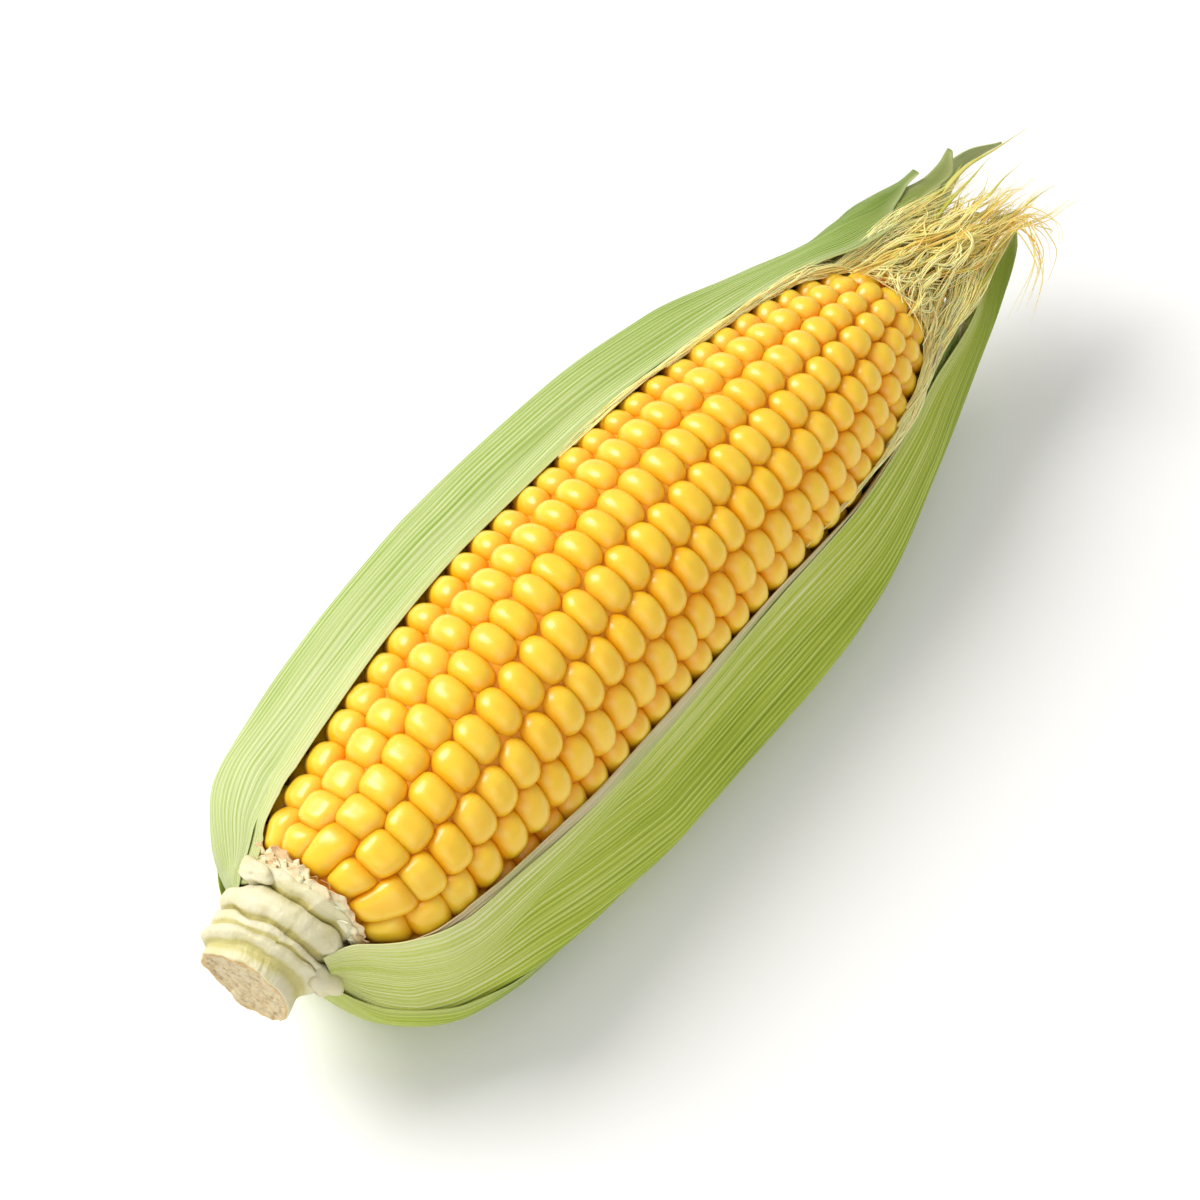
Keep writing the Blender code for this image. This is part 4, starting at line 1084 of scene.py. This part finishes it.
def make_room():
    side = 6.0
    mesh = bpy.data.meshes.new("floor")
    mesh.from_pydata([(-side, -side, 0), (side, -side, 0), (side, side, 0), (-side, side, 0)], [], [(0, 1, 2, 3)])
    floor = bpy.data.objects.new("floor", mesh)
    bpy.context.scene.collection.objects.link(floor)
    m = Shader("floor", roughness=0.7)
    where = m.node("ShaderNodeTexCoord").outputs["Object"]
    m.link(m.ramp(m.noise(where, 3.0), ((0.3, (0.905, 0.898, 0.888)), (0.7, (0.925, 0.918, 0.908)))), "Base Color")
    mesh.materials.append(m.mat)
    world = bpy.data.worlds.new("world")
    bpy.context.scene.world = world
    world.use_nodes = True
    world.node_tree.nodes["Background"].inputs["Color"].default_value = (1.0, 1.0, 1.0, 1)
    world.node_tree.nodes["Background"].inputs["Strength"].default_value = 0.55
    centre = (0.0, 0.0, 0.02)
    area_light("key", (-0.25, 0.75, 0.85), centre, 0.72, 13.0, (1.0, 0.99, 0.975))
    area_light("fill", (-0.7, -0.7, 0.7), centre, 1.2, 3.4)
    bpy.context.scene.view_settings.view_transform = "Standard"
    bpy.context.scene.view_settings.look = "None"


make_camera()
make_room()
kernel_rows(kernel_material())
core(core_material())
# painted light and shade: the right-hand palette is painted lighter and yellower than the left-hand one, to even out
# the key light, which falls on the left-hand leaves and leaves the right-hand ones in shade
left = dict(pale=srgb(198, 207, 148), mid=srgb(152, 174, 78), deep=srgb(98, 130, 26))
right = dict(pale=srgb(228, 230, 166), mid=srgb(186, 201, 66), deep=srgb(124, 148, 10))
inner = dict(pale=srgb(206, 214, 150), mid=srgb(160, 178, 76), deep=srgb(112, 140, 30))
LEFT_GREEN = ((-8, 20, 60, 110, 160, 185, 200), (0.12, 0.28, 0.52, 0.85, 1.0, 1.15, 1.4))
RIGHT_GREEN = ((-8, 2, 14, 30, 60, 110, 180, 207), (0.15, 0.30, 0.50, 0.72, 0.95, 1.02, 1.1, 1.5))
husk_leaf("husk_under_outer", husk_material("husk_under", seed=11.0, veins=72.0, **right), 170, 150, 72 // 2, 41,
          green_across=(0.85, 0.75, 0.6, 0.6, 0.6), green_along=((-9, 5, 30, 168), (0.55, 0.85, 1.05, 1.05)),
          hug=((-8, 0, 20, 60, 168), (0.9, 1.8, 2.0, 1.5, 0.8)))
husk_leaf("husk_right_outer", husk_material("husk_right", seed=21.0, veins=66.0, **right), 250, 160, 66, 42,
          green_across=(0.40, 0.62, 0.78, 0.76, 0.66, 0.6), green_along=RIGHT_GREEN, hug=1.35,
          crease=((0.34, 0.7, 3.0, -2, 60), (0.20, 0.5, 2.2, 14, 190), (0.12, 0.25, 1.2, 30, 150)))
husk_leaf("husk_left_outer", husk_material("husk_left", seed=31.0, veins=56.0, **left), 230, 160, 56, 43,
          green_across=(0.34, 0.44, 0.60, 0.65, 0.6, 0.6), green_along=LEFT_GREEN,
          hug=((-8, 0, 8, 18, 30, 50, 198), (0.3, 2.0, 2.6, 2.4, 2.0, 1.5, 1.4)), hook=(7, -0.5, 1.2),
          reach=((150, 172, 182, 189, 194, 198), (0, 0, -4, -9, -7, 0)),
          crease=((0.10, 0.55, 1.6, 10, 150), (0.22, 0.35, 2.4, 0, 80)))
husk_leaf("husk_right_inner", husk_material("husk_right_in", seed=41.0, dry=1.0, veins=60.0, **inner), 170, 150, 60 // 2,
          44, green_across=(0.35, 0.6, 0.6), curl=0.15, hug=((-8, 0, 90, 130, 195), (0, 0.5, 0.4, 0, 0)),
          lift=((100, 135, 195), (0, 0.25, 0.25)))
husk_leaf("husk_left_inner", husk_material("husk_left_in", seed=51.0, dry=0.2, veins=54.0, **inner), 170, 150, 54 // 2,
          45, green_across=(0.46, 0.55, 0.6), curl=0.12, green_along=LEFT_GREEN,
          hug=((-8, 0, 90, 130, 208), (0, 0.5, 0.4, 0, 0)), lift=((110, 135, 150, 170, 208), (0, 0.2, 0.3, 0.6, 0.6)), hook=(6, -0.4, 1.0))
# painted light: the back leaf gets little green, so it is paler, to lighten it where it lies in shade
husk_leaf("husk_back_inner", husk_material("husk_back_in", seed=61.0, veins=54.0, **inner), 150, 150, 54 // 2, 46,
          green_across=(0.2, 0.3, 0.3, 0.3, 0.2), reach=((148, 170, 190, 203, 212), (0, 32, 26, 4, 0)))
shank_mat = shank_material()
shank(shank_mat)
leaf_base(shank_mat)
chaff(chaff_material())
silk(silk_material())
